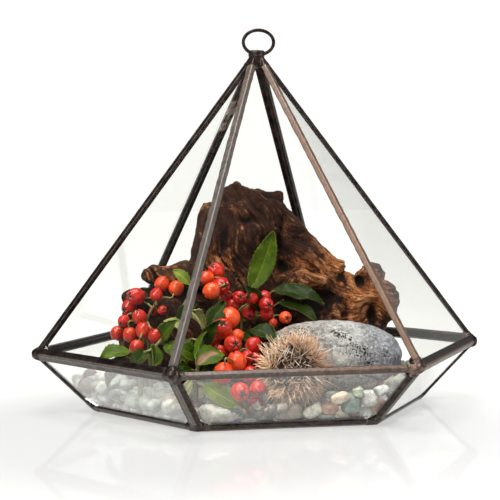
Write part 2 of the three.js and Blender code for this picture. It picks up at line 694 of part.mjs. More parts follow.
function gravelPebbles() {
  const random = randomFrom(SEED + 1);
  const pebbles = [];
  for (let i = 0; i < TOP_PEBBLES; i++) {
    const angle = i * Math.PI * (3 - Math.sqrt(5));
    const away = Math.sqrt((i + 0.5) / TOP_PEBBLES) * (trayRadius(angle, 12) - PEBBLE);
    const [x, y] = [away * Math.cos(angle), away * Math.sin(angle)];
    pebbles.push(pebble(x, y, gravelTop(x, y) - 2.5, random));
  }
  for (let side = 0; side < SIDES; side++) {
    for (let i = 0; i < ROW_PEBBLES; i++) {
      const angle = ((side + (i + 0.5) / ROW_PEBBLES) * 2 * Math.PI) / SIDES;
      for (const level of [7, 14]) {
        const away = trayRadius(angle, level) - PEBBLE * 0.8;
        const [x, y] = [away * Math.cos(angle), away * Math.sin(angle)];
        if (level > gravelTop(x, y) + 3) {
          continue;
        }
        pebbles.push(pebble(x, y, level, random));
      }
    }
  }
  return pebbles;
}

// ---- Assembly ----
place("base_pane", pane(baseFace), MATERIALS.glass);
for (let k = 0; k < SIDES; k++) {
  const n = k + 1;
  place(`lower_pane_${n}`, pane(lowerFaces[k]), MATERIALS.glass);
  if (k !== OPEN_SIDE) {
    place(`upper_pane_${n}`, pane(upperFaces[k]), MATERIALS.glass);
  }
  place(`rib_${n}`, slottedChannel(ribs[k], GIRDLE_REACH, CAP_REACH), MATERIALS.frame);
  place(`girdle_bar_${n}`, slottedChannel(girdle[k], GIRDLE_REACH, GIRDLE_REACH), MATERIALS.frame);
  place(`strut_${n}`, slottedChannel(struts[k], BASE_REACH, GIRDLE_REACH), MATERIALS.frame);
  place(`base_bar_${n}`, slottedChannel(baseEdges[k], BASE_REACH, BASE_REACH), MATERIALS.frame);
  place(`girdle_joint_${n}`, girdleJoint(k), MATERIALS.frame);
  place(`base_joint_${n}`, baseJoint(k), MATERIALS.frame);
}
place("apex_cap", apexCap(), MATERIALS.frame);
place("hanging_ring", hangingRing(), MATERIALS.frame);

// Contents give way to one another in this order, with a small gap.
const inside = room(WALL_CLEAR);
const taken = [];
function settle(name, solid, cutter, material) {
  place(name, largestBody(cutBy(solid.intersect(inside), taken)), material);
  taken.push(cutter);
}
settle("driftwood", driftwood(), driftwood(CLEAR), MATERIALS.driftwood);
settle("grey_stone", greyStone(), greyStone(CLEAR), MATERIALS.stone);
for (const [name, bunch] of Object.entries(BUNCHES)) {
  settle(`berry_bunch_${name}`, berryBunch(bunch), berryBunch(bunch, CLEAR), MATERIALS.berry);
}
settle("chestnut_burr", chestnutBurr(), burrSpace(), MATERIALS.burr);
for (const [name, twig] of Object.entries(TWIGS)) {
  settle(`leafy_twig_${name}`, leafyTwig(twig), leafyTwig(twig, CLEAR), MATERIALS.leaf);
}
const occupied = joined(taken);
const loose = gravelPebbles().filter((stone) => stone.intersect(occupied).isEmpty());
const gravel = joined([gravelBed().subtract(occupied), ...loose]);
place("gravel_bed", largestBody(gravel.intersect(inside)), MATERIALS.gravel);

export default group;
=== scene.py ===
"""A glass plant terrarium: soldered metal strips round clear panes, with driftwood, a grey stone, a
chestnut burr, berries, leafy twigs and mixed gravel inside. Shapes are worked out in millimetres."""
import math

import bpy
import numpy as np
from mathutils import Matrix


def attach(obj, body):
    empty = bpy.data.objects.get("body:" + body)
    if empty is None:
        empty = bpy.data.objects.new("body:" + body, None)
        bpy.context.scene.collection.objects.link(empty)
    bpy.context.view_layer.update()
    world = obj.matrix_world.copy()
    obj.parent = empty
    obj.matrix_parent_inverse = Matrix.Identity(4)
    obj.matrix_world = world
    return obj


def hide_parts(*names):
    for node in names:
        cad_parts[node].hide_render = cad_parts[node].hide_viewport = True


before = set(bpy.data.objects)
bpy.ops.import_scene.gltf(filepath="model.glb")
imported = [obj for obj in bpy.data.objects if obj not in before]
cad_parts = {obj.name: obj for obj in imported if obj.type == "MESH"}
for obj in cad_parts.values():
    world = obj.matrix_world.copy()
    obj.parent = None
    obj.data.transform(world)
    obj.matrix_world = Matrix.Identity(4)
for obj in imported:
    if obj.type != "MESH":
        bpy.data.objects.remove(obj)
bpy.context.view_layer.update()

MM = 0.001
TURN = 2 * math.pi

# ---- The glass body, as in the part, in millimetres ----
SIDES = 6
OPEN_SIDE = 4  # counted from 0: there is no roof pane here
GIRDLE_RADIUS = 119.2  # axis to glass corner at the widest line
GIRDLE_HEIGHT = 30.8
BASE_RADIUS = 88.4
APEX_HEIGHT = 188.8
GLASS = 2.0  # thickness of a pane
LIP = 0.7  # metal over each face of the glass
SLOT_ROOM = 0.3  # glass to metal in a strip
RIB_FACE = 3.4  # how far each strip covers its pane
GIRDLE_FACE = 4.0
STRUT_FACE = 3.4
BASE_FACE = 3.4
SLIM_FACE = 2.4  # strips that the photograph shows edge on
OPEN_BAR_FACE = 2.5  # the slimmer bar under the opening
OPEN_EDGE = 0.6  # metal past the glass line beside the opening
SEAM = 0.5  # flat of solder along a folded edge
SECTION_ROUND = 0.6  # radius of a strip's corners
SECTION_SUPPORT = 0.12
STRIP_STEP = 1.7  # between the rings of a strip
GIRDLE_REACH = 6.6  # length of each strip end that is fused in a joint
BASE_REACH = 5.6
CAP_REACH = 11.0
INTO_JOINT = 0.9  # strip hidden in the solder at each end
JOINT_LUMP = 3.1  # radius of the solder at a girdle corner
BASE_LUMP = 2.7
SOLDER_VOXEL = 0.34
CAP_RADIUS = 4.3
CAP_FOOT = 185.2
CAP_TOP = 188.3
ON_AXIS = 0.01  # radius that is as good as 0
RING_HALF_WIDTH = 8.1  # to the middle of the wire
RING_HALF_HEIGHT = 6.4
RING_WIRE = 0.9  # radius
RING_HEIGHT = 192.4
RING_SHIFT = 1.1  # the ring sits a little to the right
TRAY_FLOOR = 3.0
HAND_WEAR_AND_SHEEN = {"rib_5": 0.60, "rib_6": 0.62, "girdle_bar_5": 0.42}  # how rubbed by hands, which also paints a broad sheen on these strips
SPLASHED = "rib_3"  # a back rib that solder has run over, between two heights
SPLASH = (146.0, 162.0)

# ---- The camera, fitted to the corners in the photograph ----
CAMERA_PLACE = (-137.737, -790.61, 124.391)
CAMERA_FORWARD = (0.165673, 0.984822, -0.051756)
CAMERA_ROLL = -0.67  # degrees
CAMERA_LENS = 108.94
SENSOR = 36.0


# ---- Numbers that vary smoothly ----
def unit(v):
    """The vectors divided by their lengths."""
    v = np.asarray(v, float)
    return v / np.maximum(np.linalg.norm(v, axis=-1, keepdims=True), 1e-12)


def smoothstep(x, low, high):
    """0 below low, 1 above high, and 3t^2 - 2t^3 between."""
    t = np.clip((x - low) / (high - low), 0, 1)
    return t * t * (3 - 2 * t)


def bell(x, width, power=2):
    """1 at x = 0, falling as exp(-(x / width)^power) on both sides."""
    return np.exp(-((np.abs(x) / width) ** power))


def lattice(cell, seed):
    """A value from 0 to 1 for each whole-number cell, by mixing the bits of its coordinates."""
    cell = cell.astype(np.int64).astype(np.uint64)
    h = cell[..., 0] * np.uint64(374761393) + cell[..., 1] * np.uint64(668265263)
    h = h + cell[..., 2] * np.uint64(1274126177) + np.uint64(seed * 9176423 + 1)
    h = (h ^ (h >> np.uint64(13))) * np.uint64(1103515245)
    h = (h ^ (h >> np.uint64(16))) * np.uint64(2246822519)
    return ((h ^ (h >> np.uint64(15))) & np.uint64(0xFFFF)).astype(float) / 65535


def noise(places, seed=0):
    """Smooth noise from -1 to 1: lattice values blended by smoothstep between the 8 corners."""
    places = np.asarray(places, float) + 1000
    cell = np.floor(places)
    f = places - cell
    f = f * f * (3 - 2 * f)
    total = 0
    for k in range(8):
        step = np.array([k & 1, k >> 1 & 1, k >> 2 & 1])
        weight = np.prod(np.where(step, f, 1 - f), axis=-1)
        total = total + weight * lattice(cell + step, seed)
    return 2 * total - 1


def layered(places, layers, seed=0):
    """Noise plus half as much at twice the fineness, and so on."""
    places = np.asarray(places, float)
    return sum(noise(places * 2**k, seed + 31 * k) / 2**k for k in range(layers))


# ---- Shapes: points, faces and marks that the materials read ----
def shape(points, *faces, **marks):
    """A shape: its points, its arrays of faces and its marks, a value for each point."""
    return {"points": np.asarray(points, float).reshape(-1, 3), "faces": list(faces), "marks": marks}


def grid_faces(rows, columns, wrap=False):
    """Quads between neighbouring points of a grid, numbered row by row."""
    across = np.arange(columns if wrap else columns - 1)
    i, j = np.meshgrid(np.arange(rows - 1), across, indexing="ij")
    k = (j + 1) % columns
    quads = [i * columns + j, i * columns + k, (i + 1) * columns + k, (i + 1) * columns + j]
    return np.stack(quads, -1).reshape(-1, 4)


def triangles_of(faces):
    """The faces cut into triangles, each a fan from its first corner."""
    return np.concatenate([
        np.stack([f[:, 0], f[:, k], f[:, k + 1]], -1) for f in faces for k in range(1, f.shape[1] - 1)
    ])


def outward(s):
    """Turns a closed shape's faces over if the volume that they enclose comes out negative."""
    a, b, c = np.moveaxis(s["points"][triangles_of(s["faces"])], 1, 0)
    if np.einsum("ij,ij->", a, np.cross(b, c)) < 0:
        s["faces"] = [f[:, ::-1] for f in s["faces"]]
    return s


def merged(shapes):
    """Several shapes as one. A mark that one of them lacks is 0 there."""
    offsets = np.cumsum([0] + [len(s["points"]) for s in shapes])
    faces = [f + o for s, o in zip(shapes, offsets) for f in s["faces"]]
    marks = {}
    for name in sorted({m for s in shapes for m in s["marks"]}):
        like = next(np.asarray(s["marks"][name]) for s in shapes if name in s["marks"])
        marks[name] = np.concatenate([
            np.asarray(s["marks"].get(name, np.zeros((len(s["points"]), *like.shape[1:])))) for s in shapes
        ])
    return shape(np.concatenate([s["points"] for s in shapes]), *faces, **marks)


def copies(template, points, **marks):
    """One shape for many copies: points is copies by template points by 3, with a mark each."""
    count, size = points.shape[:2]
    steps = np.arange(count)[:, None, None] * size
    faces = [(f[None] + steps).reshape(-1, f.shape[1]) for f in template["faces"]]
    return shape(points, *faces, **{k: np.repeat(v, size, axis=0) for k, v in marks.items()})


def normals_of(s):
    """Each point's normal: the sum of its faces' area vectors, made one long."""
    tri = triangles_of(s["faces"])
    a, b, c = np.moveaxis(s["points"][tri], 1, 0)
    area = np.cross(b - a, c - a)
    total = np.zeros_like(s["points"])
    for k in range(3):
        np.add.at(total, tri[:, k], area)
    return unit(total)


def neighbour_mean(s, values):
    """The mean of the values at the points joined to each point by an edge."""
    total = np.zeros_like(values)
    count = np.zeros(len(values))
    for f in s["faces"]:
        for k in range(f.shape[1]):
            a, b = f[:, k], f[:, (k + 1) % f.shape[1]]
            np.add.at(total, a, values[b])
            np.add.at(total, b, values[a])
            np.add.at(count, a, 1)
            np.add.at(count, b, 1)
    return total / count[:, None]


def hollows_of(s, rounds):
    """How far each point lies below the mean of its surroundings, in millimetres."""
    mean = s["points"]
    for _ in range(rounds):
        mean = neighbour_mean(s, mean)
    return np.einsum("ij,ij->i", mean - s["points"], normals_of(s))


def mesh_of(name, parts):
    """A mesh from (shape, material) parts, with their marks as attributes."""
    whole = merged([s for s, _ in parts])
    mesh = bpy.data.meshes.new(name)
    mesh.vertices.add(len(whole["points"]))
    mesh.vertices.foreach_set("co", (whole["points"] * MM).ravel())
    sizes = np.concatenate([np.full(len(f), f.shape[1]) for f in whole["faces"]])
    mesh.loops.add(int(sizes.sum()))
    mesh.loops.foreach_set("vertex_index", np.concatenate([f.ravel() for f in whole["faces"]]))
    mesh.polygons.add(len(sizes))
    mesh.polygons.foreach_set("loop_start", np.concatenate([[0], np.cumsum(sizes)[:-1]]))
    worn = np.concatenate([np.full(sum(map(len, s["faces"])), k) for k, (s, _) in enumerate(parts)])
    mesh.polygons.foreach_set("material_index", worn)
    for _, material in parts:
        mesh.materials.append(material)
    mesh.update(calc_edges=True)
    kinds = {1: ("FLOAT", "value"), 3: ("FLOAT_VECTOR", "vector"), 4: ("FLOAT_COLOR", "color")}
    for mark, values in whole["marks"].items():
        kind, field = kinds[1 if values.ndim == 1 else values.shape[1]]
        attribute = mesh.attributes.new(mark, kind, "POINT")
        attribute.data.foreach_set(field, np.ascontiguousarray(values, np.float32).ravel())
    return mesh


def placed(name, data, axes=None, place=(0, 0, 0)):
    """A new object in the scene. Its matrix has the axes as columns and the place, in millimetres."""
    made = bpy.data.objects.new(name, data)
    bpy.context.scene.collection.objects.link(made)
    if axes is not None:
        matrix = Matrix.Identity(4)
        for row in range(3):
            matrix[row][:3] = axes[row]
            matrix[row][3] = place[row] * MM
        made.matrix_world = matrix
    return made


def piece(name, parts, slot, *nodes):
    """A finished piece that rides on the part and stands for its nodes."""
    mesh = mesh_of(name, parts)
    mesh.shade_smooth()
    made = placed(name, mesh)
    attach(made, "root")
    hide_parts(*nodes)


def fused(shapes, voxel, rounds):
    """Closed shapes melted into one skin of quads voxel millimetres wide, then smoothed."""
    temporary = placed("melt", mesh_of("melt", [(merged(shapes), None)]))
    remesh = temporary.modifiers.new("remesh", "REMESH")
    remesh.mode = "VOXEL"
    remesh.voxel_size = voxel * MM
    smooth = temporary.modifiers.new("smooth", "SMOOTH")
    smooth.iterations = rounds
    bpy.context.view_layer.update()
    mesh = temporary.evaluated_get(bpy.context.evaluated_depsgraph_get()).to_mesh()
    points = np.empty(len(mesh.vertices) * 3, np.float32)
    mesh.vertices.foreach_get("co", points)
    corners = np.empty(len(mesh.loops), np.int32)
    mesh.loops.foreach_get("vertex_index", corners)
    melted = temporary.data
    bpy.data.objects.remove(temporary)
    bpy.data.meshes.remove(melted)
    return outward(shape(points.reshape(-1, 3) / MM, corners.reshape(-1, 4)))


# ---- Curves and tubes ----
def full_turn(count):
    """Angles in equal steps round a turn."""
    return np.linspace(0, TURN, count, endpoint=False)


def smooth_path(knots, count):
    """A Catmull-Rom curve through the knots: a cubic in each span's own parameter."""
    knots = np.asarray(knots, float)
    p = np.vstack([2 * knots[0] - knots[1], knots, 2 * knots[-1] - knots[-2]])
    t = np.linspace(0, len(knots) - 1, count)
    k = np.minimum(t.astype(int), len(knots) - 2)
    u = (t - k)[:, None]
    a, b, c, d = p[k], p[k + 1], p[k + 2], p[k + 3]
    return 0.5 * (2 * b + (c - a) * u + (2 * a - 5 * b + 4 * c - d) * u**2 + (3 * b - a - 3 * c + d) * u**3)


def tube(knots, radii, sides, rings, depth=1.0, **marks):
    """A closed tube: circles of the given radii along a smooth path, with a point at each end. depth
    flattens it from front to back. Each circle's side is square to the path and to Y on an upright
    tube, or to Z on a lying one."""
    path = smooth_path(knots, rings)
    chord = np.asarray(knots[-1], float) - knots[0]
    upright = abs(chord[2]) > math.hypot(chord[0], chord[1])
    tangent = unit(np.gradient(path, axis=0))
    side = unit(np.cross(tangent, (0, 1, 0) if upright else (0, 0, 1)))
    up = np.cross(side, tangent)
    flat = (1, depth) if upright else (depth, 1)
    radius = np.interp(np.linspace(0, 1, rings), np.linspace(0, 1, len(radii)), radii)[:, None, None]
    angle = full_turn(sides)[None, :, None]
    ring = np.cos(angle) * side[:, None] * flat[0] + np.sin(angle) * up[:, None] * flat[1]
    points = np.concatenate([(path[:, None] + radius * ring).reshape(-1, 3), path[[0, -1]]])
    k = np.arange(sides)
    first, last = rings * sides, (rings - 1) * sides
    caps = [
        np.stack([np.full(sides, first), (k + 1) % sides, k], -1),
        np.stack([np.full(sides, first + 1), last + k, last + (k + 1) % sides], -1),
    ]
    made = outward(shape(points, grid_faces(rings, sides, wrap=True), *caps))
    made["marks"] = {name: np.full(len(points), value) for name, value in marks.items()}
    return made


def ball(steps):
    """A unit sphere from the six sides of a cube, each steps by steps quads of equal angles."""
    a = np.tan(np.linspace(-1, 1, steps + 1) * math.pi / 4)
    u, v = (g.ravel() for g in np.meshgrid(a, a, indexing="ij"))
    one = np.ones_like(u)
    sides = [(one, u, v), (-one, v, u), (v, one, u), (u, -one, v), (u, v, one), (v, u, -one)]
    points = unit(np.concatenate([np.stack(s, -1) for s in sides]))
    faces = np.concatenate([grid_faces(steps + 1, steps + 1) + k * (steps + 1) ** 2 for k in range(6)])
    _, first, back = np.unique(np.round(points, 6), axis=0, return_index=True, return_inverse=True)
    return outward(shape(points[first], back.ravel()[faces]))


def turned(points, angles):
    """Points turned about X, then Y, then Z."""
    for axis, angle in enumerate(angles):
        c, s = np.cos(angle), np.sin(angle)
        p, q = points[..., (axis + 1) % 3].copy(), points[..., (axis + 2) % 3].copy()
        points = points.copy()
        points[..., (axis + 1) % 3] = c * p - s * q
        points[..., (axis + 2) % 3] = s * p + c * q
    return points


# ---- Material helpers ----
def fill(tree, node, values):
    """Sets or links the node's inputs."""
    for name, value in values.items():
        if isinstance(value, bpy.types.NodeSocket):
            tree.links.new(value, node.inputs[name])
        else:
            node.inputs[name].default_value = value


def add(tree, kind, values=None, **settings):
    """A node with its settings, and its inputs set or linked."""
    node = tree.nodes.new(kind)
    for name, value in settings.items():
        setattr(node, name, value)
    fill(tree, node, values or {})
    return node


def mark(tree, name, output="Fac"):
    """A mark of the mesh, as a number, or as its Color or Vector."""
    return add(tree, "ShaderNodeAttribute", attribute_name=name).outputs[output]


def maths(tree, operation, *values):
    """A math node on sockets or numbers."""
    return add(tree, "ShaderNodeMath", dict(enumerate(values)), operation=operation).outputs[0]


def plus(tree, a, b):
    """a + b, on sockets or numbers."""
    return maths(tree, "ADD", a, b)


def less(tree, a, b):
    """a - b, on sockets or numbers."""
    return maths(tree, "SUBTRACT", a, b)


def times(tree, a, b):
    """a times b, on sockets or numbers."""
    return maths(tree, "MULTIPLY", a, b)


def tinted(tree, a, b):
    """One colour times another."""
    return mixed(tree, 1.0, a, b, "MULTIPLY")


def parts_of(tree, vector):
    """The x, y and z of a vector."""
    return add(tree, "ShaderNodeSeparateXYZ", {0: vector}).outputs


def mixed(tree, factor, low, high, blend="MIX"):
    """low where factor is 0 and high where it is 1, as colours."""
    low, high = (c if isinstance(c, bpy.types.NodeSocket) else (*c, 1) for c in (low, high))
    values = {0: factor, 6: low, 7: high}
    return add(tree, "ShaderNodeMix", values, data_type="RGBA", blend_type=blend).outputs[2]


def mixed_value(tree, factor, low, high):
    """low where factor is 0 and high where it is 1, as numbers."""
    return add(tree, "ShaderNodeMix", {0: factor, 2: low, 3: high}, data_type="FLOAT").outputs[0]


def ranged(tree, value, low, high, to_low=0.0, to_high=1.0):
    """value taken from one range to another, smoothly and held at the ends."""
    values = {"Value": value, 1: low, 2: high, 3: to_low, 4: to_high}
    return add(tree, "ShaderNodeMapRange", values, interpolation_type="SMOOTHSTEP").outputs[0]


def speckle(tree, place, scale, detail=3.0, rough=0.55):
    """Noise from 0 to 1, scale cells to the metre of place."""
    values = {"Vector": place, "Scale": scale, "Detail": detail, "Roughness": rough}
    return add(tree, "ShaderNodeTexNoise", values).outputs["Fac"]


def scaled(tree, place, factors):
    """A place with each coordinate times its own factor."""
    return add(tree, "ShaderNodeVectorMath", {0: place, 1: factors}, operation="MULTIPLY").outputs[0]


def relief(tree, height, distance, strength=1.0):
    """A normal from a height, distance metres deep."""
    values = {"Height": height, "Distance": distance, "Strength": strength}
    return add(tree, "ShaderNodeBump", values).outputs[0]


def painted(name, **values):
    """A new material, its tree, the place in object coordinates, its Principled shader and output."""
    material = bpy.data.materials.new(name)
    material.use_nodes = True
    tree = material.node_tree
    tree.nodes.clear()
    shader = add(tree, "ShaderNodeBsdfPrincipled", {k.replace("_", " "): v for k, v in values.items()})
    output = add(tree, "ShaderNodeOutputMaterial", {"Surface": shader.outputs[0]})
    place = add(tree, "ShaderNodeTexCoord").outputs["Object"]
    return material, tree, place, shader, output


def feed(tree, shader, **sockets):
    """Links sockets to the shader's inputs, whose names have spaces for underlines."""
    for name, socket in sockets.items():
        tree.links.new(socket, shader.inputs[name.replace("_", " ")])


def new_group(name, inputs, outputs):
    """A shader node group with named sockets. Each is (name, kind)."""
    tree = bpy.data.node_groups.new(name, "ShaderNodeTree")
    for way, sockets in (("INPUT", inputs), ("OUTPUT", outputs)):
        for label, kind in sockets:
            tree.interface.new_socket(label, in_out=way, socket_type="NodeSocket" + kind)
    return tree, add(tree, "NodeGroupInput").outputs, add(tree, "NodeGroupOutput")


def mottle_group():
    """Two colours in soft patches, with finer spots of the same two within them."""
    inputs = [("Place", "Vector"), ("Scale", "Float"), ("Low", "Color"), ("High", "Color")]
    tree, given, out = new_group("mottle", inputs, [("Colour", "Color"), ("Mask", "Float")])
    broad = speckle(tree, given["Place"], given["Scale"], 4.0)
    fine = speckle(tree, given["Place"], times(tree, given["Scale"], 5.0), 3.0)
    both = plus(tree, times(tree, broad, 0.65), times(tree, fine, 0.35))
    mask = ranged(tree, both, 0.38, 0.62)
    tree.links.new(mask, out.inputs["Mask"])
    tree.links.new(mixed(tree, mask, given["Low"], given["High"]), out.inputs["Colour"])
    return tree


def fibre_group():
    """Fibres along the second coordinate of Place, in millimetres: a mask and a height."""
    inputs = [("Place", "Vector"), ("Width", "Float"), ("Length", "Float")]
    tree, given, out = new_group("fibre", inputs, [("Mask", "Float"), ("Height", "Float")])
    across = maths(tree, "DIVIDE", 1.0, given["Width"])
    along = maths(tree, "DIVIDE", 1.0, given["Length"])
    factors = add(tree, "ShaderNodeCombineXYZ", {"X": across, "Y": along, "Z": across}).outputs[0]
    place = scaled(tree, given["Place"], factors)
    strand = speckle(tree, place, 1.0, 4.0, 0.62)
    thread = speckle(tree, place, 2.6, 3.0, 0.6)
    height = plus(tree, times(tree, strand, 0.55), times(tree, thread, 0.45))
    tree.links.new(height, out.inputs["Height"])
    tree.links.new(ranged(tree, height, 0.41, 0.61), out.inputs["Mask"])
    return tree


PIT_LEAST = 0.35  # added to each pit's own chance from 0 to 1
PIT_BEND = (0.0009, 0.0009, 0.0009)  # metres by which noise bends the pits' edges


def pitting_group():
    """Small round holes, more of them in some places than in others, as a mask."""
    inputs = [("Place", "Vector"), ("Scale", "Float"), ("Size", "Float")]
    tree, given, out = new_group("pitting", inputs, [("Mask", "Float")])
    bend = add(tree, "ShaderNodeTexNoise", {"Vector": given["Place"], "Scale": 900.0}).outputs["Color"]
    shift = scaled(tree, bend, PIT_BEND)
    place = add(tree, "ShaderNodeVectorMath", {0: given["Place"], 1: shift}, operation="ADD").outputs[0]
    cells = add(tree, "ShaderNodeTexVoronoi", {"Vector": place, "Scale": given["Scale"]}, feature="F1")
    cluster = ranged(tree, speckle(tree, given["Place"], 75.0, 3.0, 0.7), 0.46, 0.62, 0.0, 1.0)
    chance = add(tree, "ShaderNodeSeparateColor", {0: cells.outputs["Color"]}).outputs[0]
    reach = times(tree, given["Size"], times(tree, cluster, plus(tree, chance, PIT_LEAST)))
    hole = less(tree, reach, cells.outputs["Distance"])
    tree.links.new(ranged(tree, hole, 0.0, 0.05), out.inputs["Mask"])
    return tree


PITTING = pitting_group()
MOTTLE = mottle_group()
FIBRE = fibre_group()


def grouped(tree, group, **values):
    """The outputs of a group with its inputs set or linked."""
    node = tree.nodes.new("ShaderNodeGroup")
    node.node_tree = group
    fill(tree, node, values)
    return node.outputs


def mottled(tree, place, scale, low, high):
    """Colour and mask of the mottle group."""
    return grouped(tree, MOTTLE, Place=place, Scale=scale, Low=(*low, 1), High=(*high, 1))


# ---- Materials ----
def metal_material():
    """Dark antique patina, rubbed bare at seams and where hands reach in: grey on the left and on
    the tray, copper on the right. The bare metal is partly wear and partly painted light: a painted
    highlight along seams and corners, and a painted sheen on the handled front strips."""
    material, tree, place, shader, _ = painted("antique strip", Metallic=0.9)
    rubbed = mark(tree, "rubbed")
    patina = mottled(tree, place, 260.0, (0.013, 0.0075, 0.006), (0.048, 0.034, 0.029))
    parts = parts_of(tree, place)
    copper = times(tree, ranged(tree, parts[0], -0.03, 0.035), ranged(tree, parts[2], 0.024, 0.031))
    handled = times(tree, copper, ranged(tree, rubbed, 0.15, 0.6, 0.25, 1.0))
    bare = mixed(tree, handled, (0.28, 0.25, 0.225), (0.35, 0.23, 0.17))
    streaks = speckle(tree, scaled(tree, place, (1.0, 1.0, 0.35)), 700.0, 3.0)
    # bare where rubbed: wear, plus a painted highlight on seams and a painted sheen on front strips
    bare_and_sheen = plus(tree, rubbed, times(tree, less(tree, streaks, 0.5), 0.40))
    worn = ranged(tree, bare_and_sheen, 0.2, 0.95)
    rough = plus(tree, ranged(tree, patina["Mask"], 0.0, 1.0, 0.36, 0.48), times(tree, worn, 0.34))
    feed(
        tree, shader,
        Base_Color=mixed(tree, worn, patina["Colour"], bare),
        Roughness=rough,
        Normal=relief(tree, speckle(tree, place, 1400.0, 3.0), 0.00012, 0.4),
    )
    return material


def glass_material(name, refraction):
    """Clear glass with a faint grey-green tint. Light for what is inside passes straight through."""
    material, tree, _, shader, output = painted(
        name, Base_Color=(0.975, 0.978, 0.955, 1), Roughness=0.0, IOR=refraction,
        Transmission_Weight=1.0,
    )
    path = add(tree, "ShaderNodeLightPath").outputs
    through = add(tree, "ShaderNodeBsdfTransparent", {"Color": (0.93, 0.94, 0.92, 1)})
    indirect = maths(tree, "MAXIMUM", path["Is Shadow Ray"], path["Is Diffuse Ray"])
    both = add(tree, "ShaderNodeMixShader", {0: indirect, 1: shader.outputs[0], 2: through.outputs[0]})
    tree.links.new(both.outputs[0], output.inputs["Surface"])
    return material


def driftwood_material():
    """Near-black weathered wood whose fibres open to reddish and orange brown on its ridges. The tan
    on its crests is partly a painted highlight, and the near-black in its hollows, dents and cracks
    is painted shade.
    """
    material, tree, place, shader, _ = painted("weathered driftwood", Specular_IOR_Level=0.12)
    flow = mark(tree, "flow", "Vector")
    fibre = grouped(tree, FIBRE, Place=flow, Width=0.9, Length=36.0)
    coarse = grouped(tree, FIBRE, Place=flow, Width=2.8, Length=34.0)
    patches = ranged(tree, speckle(tree, place, 110.0, 5.0, 0.65), 0.40, 0.60)
    tone = mark(tree, "tone")
    hollow = mark(tree, "hollow")
    stray = plus(tree, times(tree, coarse["Mask"], 0.55), times(tree, patches, 0.55))
    warmth = plus(tree, tone, less(tree, stray, 0.62))
    raised = ranged(tree, hollow, 0.10, -0.30)
    dark = mixed(tree, fibre["Mask"], (0.008, 0.0035, 0.0025), (0.050, 0.019, 0.011))
    warm = mixed(tree, fibre["Mask"], (0.060, 0.016, 0.006), (0.38, 0.125, 0.036))
    body = mixed(tree, ranged(tree, warmth, 0.05, 0.90), dark, warm)
    tan = mixed(tree, fibre["Mask"], (0.15, 0.045, 0.014), (0.72, 0.36, 0.165))
    # paler tan on raised crests: partly the wood's colour, partly a painted highlight
    crest_and_highlight = times(tree, raised, ranged(tree, warmth, 0.0, 0.9, 0.03, 0.75))
    pale = mixed(tree, crest_and_highlight, body, tan)
    # near-black in hollows: painted shade
    deep = mixed(tree, ranged(tree, hollow, 0.02, 0.40, 0.0, 0.95), pale, (0.004, 0.002, 0.0015))
    grit = speckle(tree, place, 900.0, 5.0, 0.7)
    feed(
        tree, shader,
        Base_Color=mixed(tree, ranged(tree, grit, 0.54, 0.66, 0.0, 0.6), deep, (0.007, 0.004, 0.003)),
        Roughness=ranged(tree, fibre["Mask"], 0.0, 1.0, 0.65, 0.9),
        Normal=relief(tree, plus(tree, fibre["Height"], times(tree, grit, 0.5)), 0.0011, 0.9),
    )
    return material


def stone_material():
    """Grey stone, warmer to the left, with dark pits, flecks and a crack. Its right end is bluer and
    darker, which is painted shade.
    """
    material, tree, place, shader, _ = painted("grey stone", Specular_IOR_Level=0.2)
    across = parts_of(tree, place)[0]
    ground = mottled(tree, place, 110.0, (0.22, 0.215, 0.205), (0.50, 0.485, 0.445))
    warm = tinted(tree, ground["Colour"], (0.72, 0.63, 0.54))
    # bluer and darker towards the right end: painted shade
    shaded_blue = tinted(tree, ground["Colour"], (0.54, 0.57, 0.72))
    left = mixed(tree, ranged(tree, across, 0.005, 0.034), warm, ground["Colour"])
    base = mixed(tree, ranged(tree, across, 0.026, 0.060, 0.0, 0.85), left, shaded_blue)
    grain = speckle(tree, place, 700.0, 5.0, 0.78)
    flecked = mixed(tree, ranged(tree, grain, 0.52, 0.64, 0.0, 0.75), base, (0.09, 0.085, 0.085))
    lit = mixed(tree, ranged(tree, grain, 0.47, 0.35, 0.0, 0.8), flecked, (0.72, 0.705, 0.665))
    small = grouped(tree, PITTING, Place=place, Scale=560.0, Size=0.34)["Mask"]
    fine = grouped(tree, PITTING, Place=place, Scale=1050.0, Size=0.42)["Mask"]
    spotted = mixed(tree, maths(tree, "MAXIMUM", small, fine), lit, (0.030, 0.027, 0.027))
    rust = mixed(tree, mark(tree, "stain"), spotted, (0.42, 0.27, 0.15))
    pits = mixed(tree, mark(tree, "pit"), rust, (0.020, 0.017, 0.016))
    height = less(tree, grain, small)
    feed(
        tree, shader,
        Base_Color=pits,
        Roughness=ranged(tree, grain, 0.3, 0.7, 0.7, 0.9),
        Normal=relief(tree, height, 0.0008, 0.9),
    )
    return material


def gravel_material():
    """Polished pebbles, each in its own colour with clouds and veins of a lighter one."""
    material, tree, place, shader, _ = painted("pebbles", Specular_IOR_Level=0.5)
    own = mark(tree, "colour", "Color")
    cloud = mottled(tree, place, 330.0, (0.55, 0.55, 0.55), (1.15, 1.15, 1.15))
    body = tinted(tree, own, cloud["Colour"])
    veins = speckle(tree, place, 240.0, 5.0, 0.7)
    vein = ranged(tree, maths(tree, "ABSOLUTE", less(tree, veins, 0.5)), 0.02, 0.0, 0.0, 0.35)
    feed(
        tree, shader,
        Base_Color=mixed(tree, vein, body, (0.60, 0.56, 0.48)),
        Roughness=ranged(tree, cloud["Mask"], 0.0, 1.0, 0.30, 0.55),
        Normal=relief(tree, speckle(tree, place, 900.0, 4.0), 0.0004, 0.5),
    )
    return material


def burr_material():
    """Dry spines, whose colours are marked on them: dark at the root, partly with painted shade, and
    straw at the tip.
    """
    material, tree, _, shader, _ = painted("dry spines", Specular_IOR_Level=0.35, Roughness=0.55)
    feed(tree, shader, Base_Color=mark(tree, "colour", "Color"))
    return material


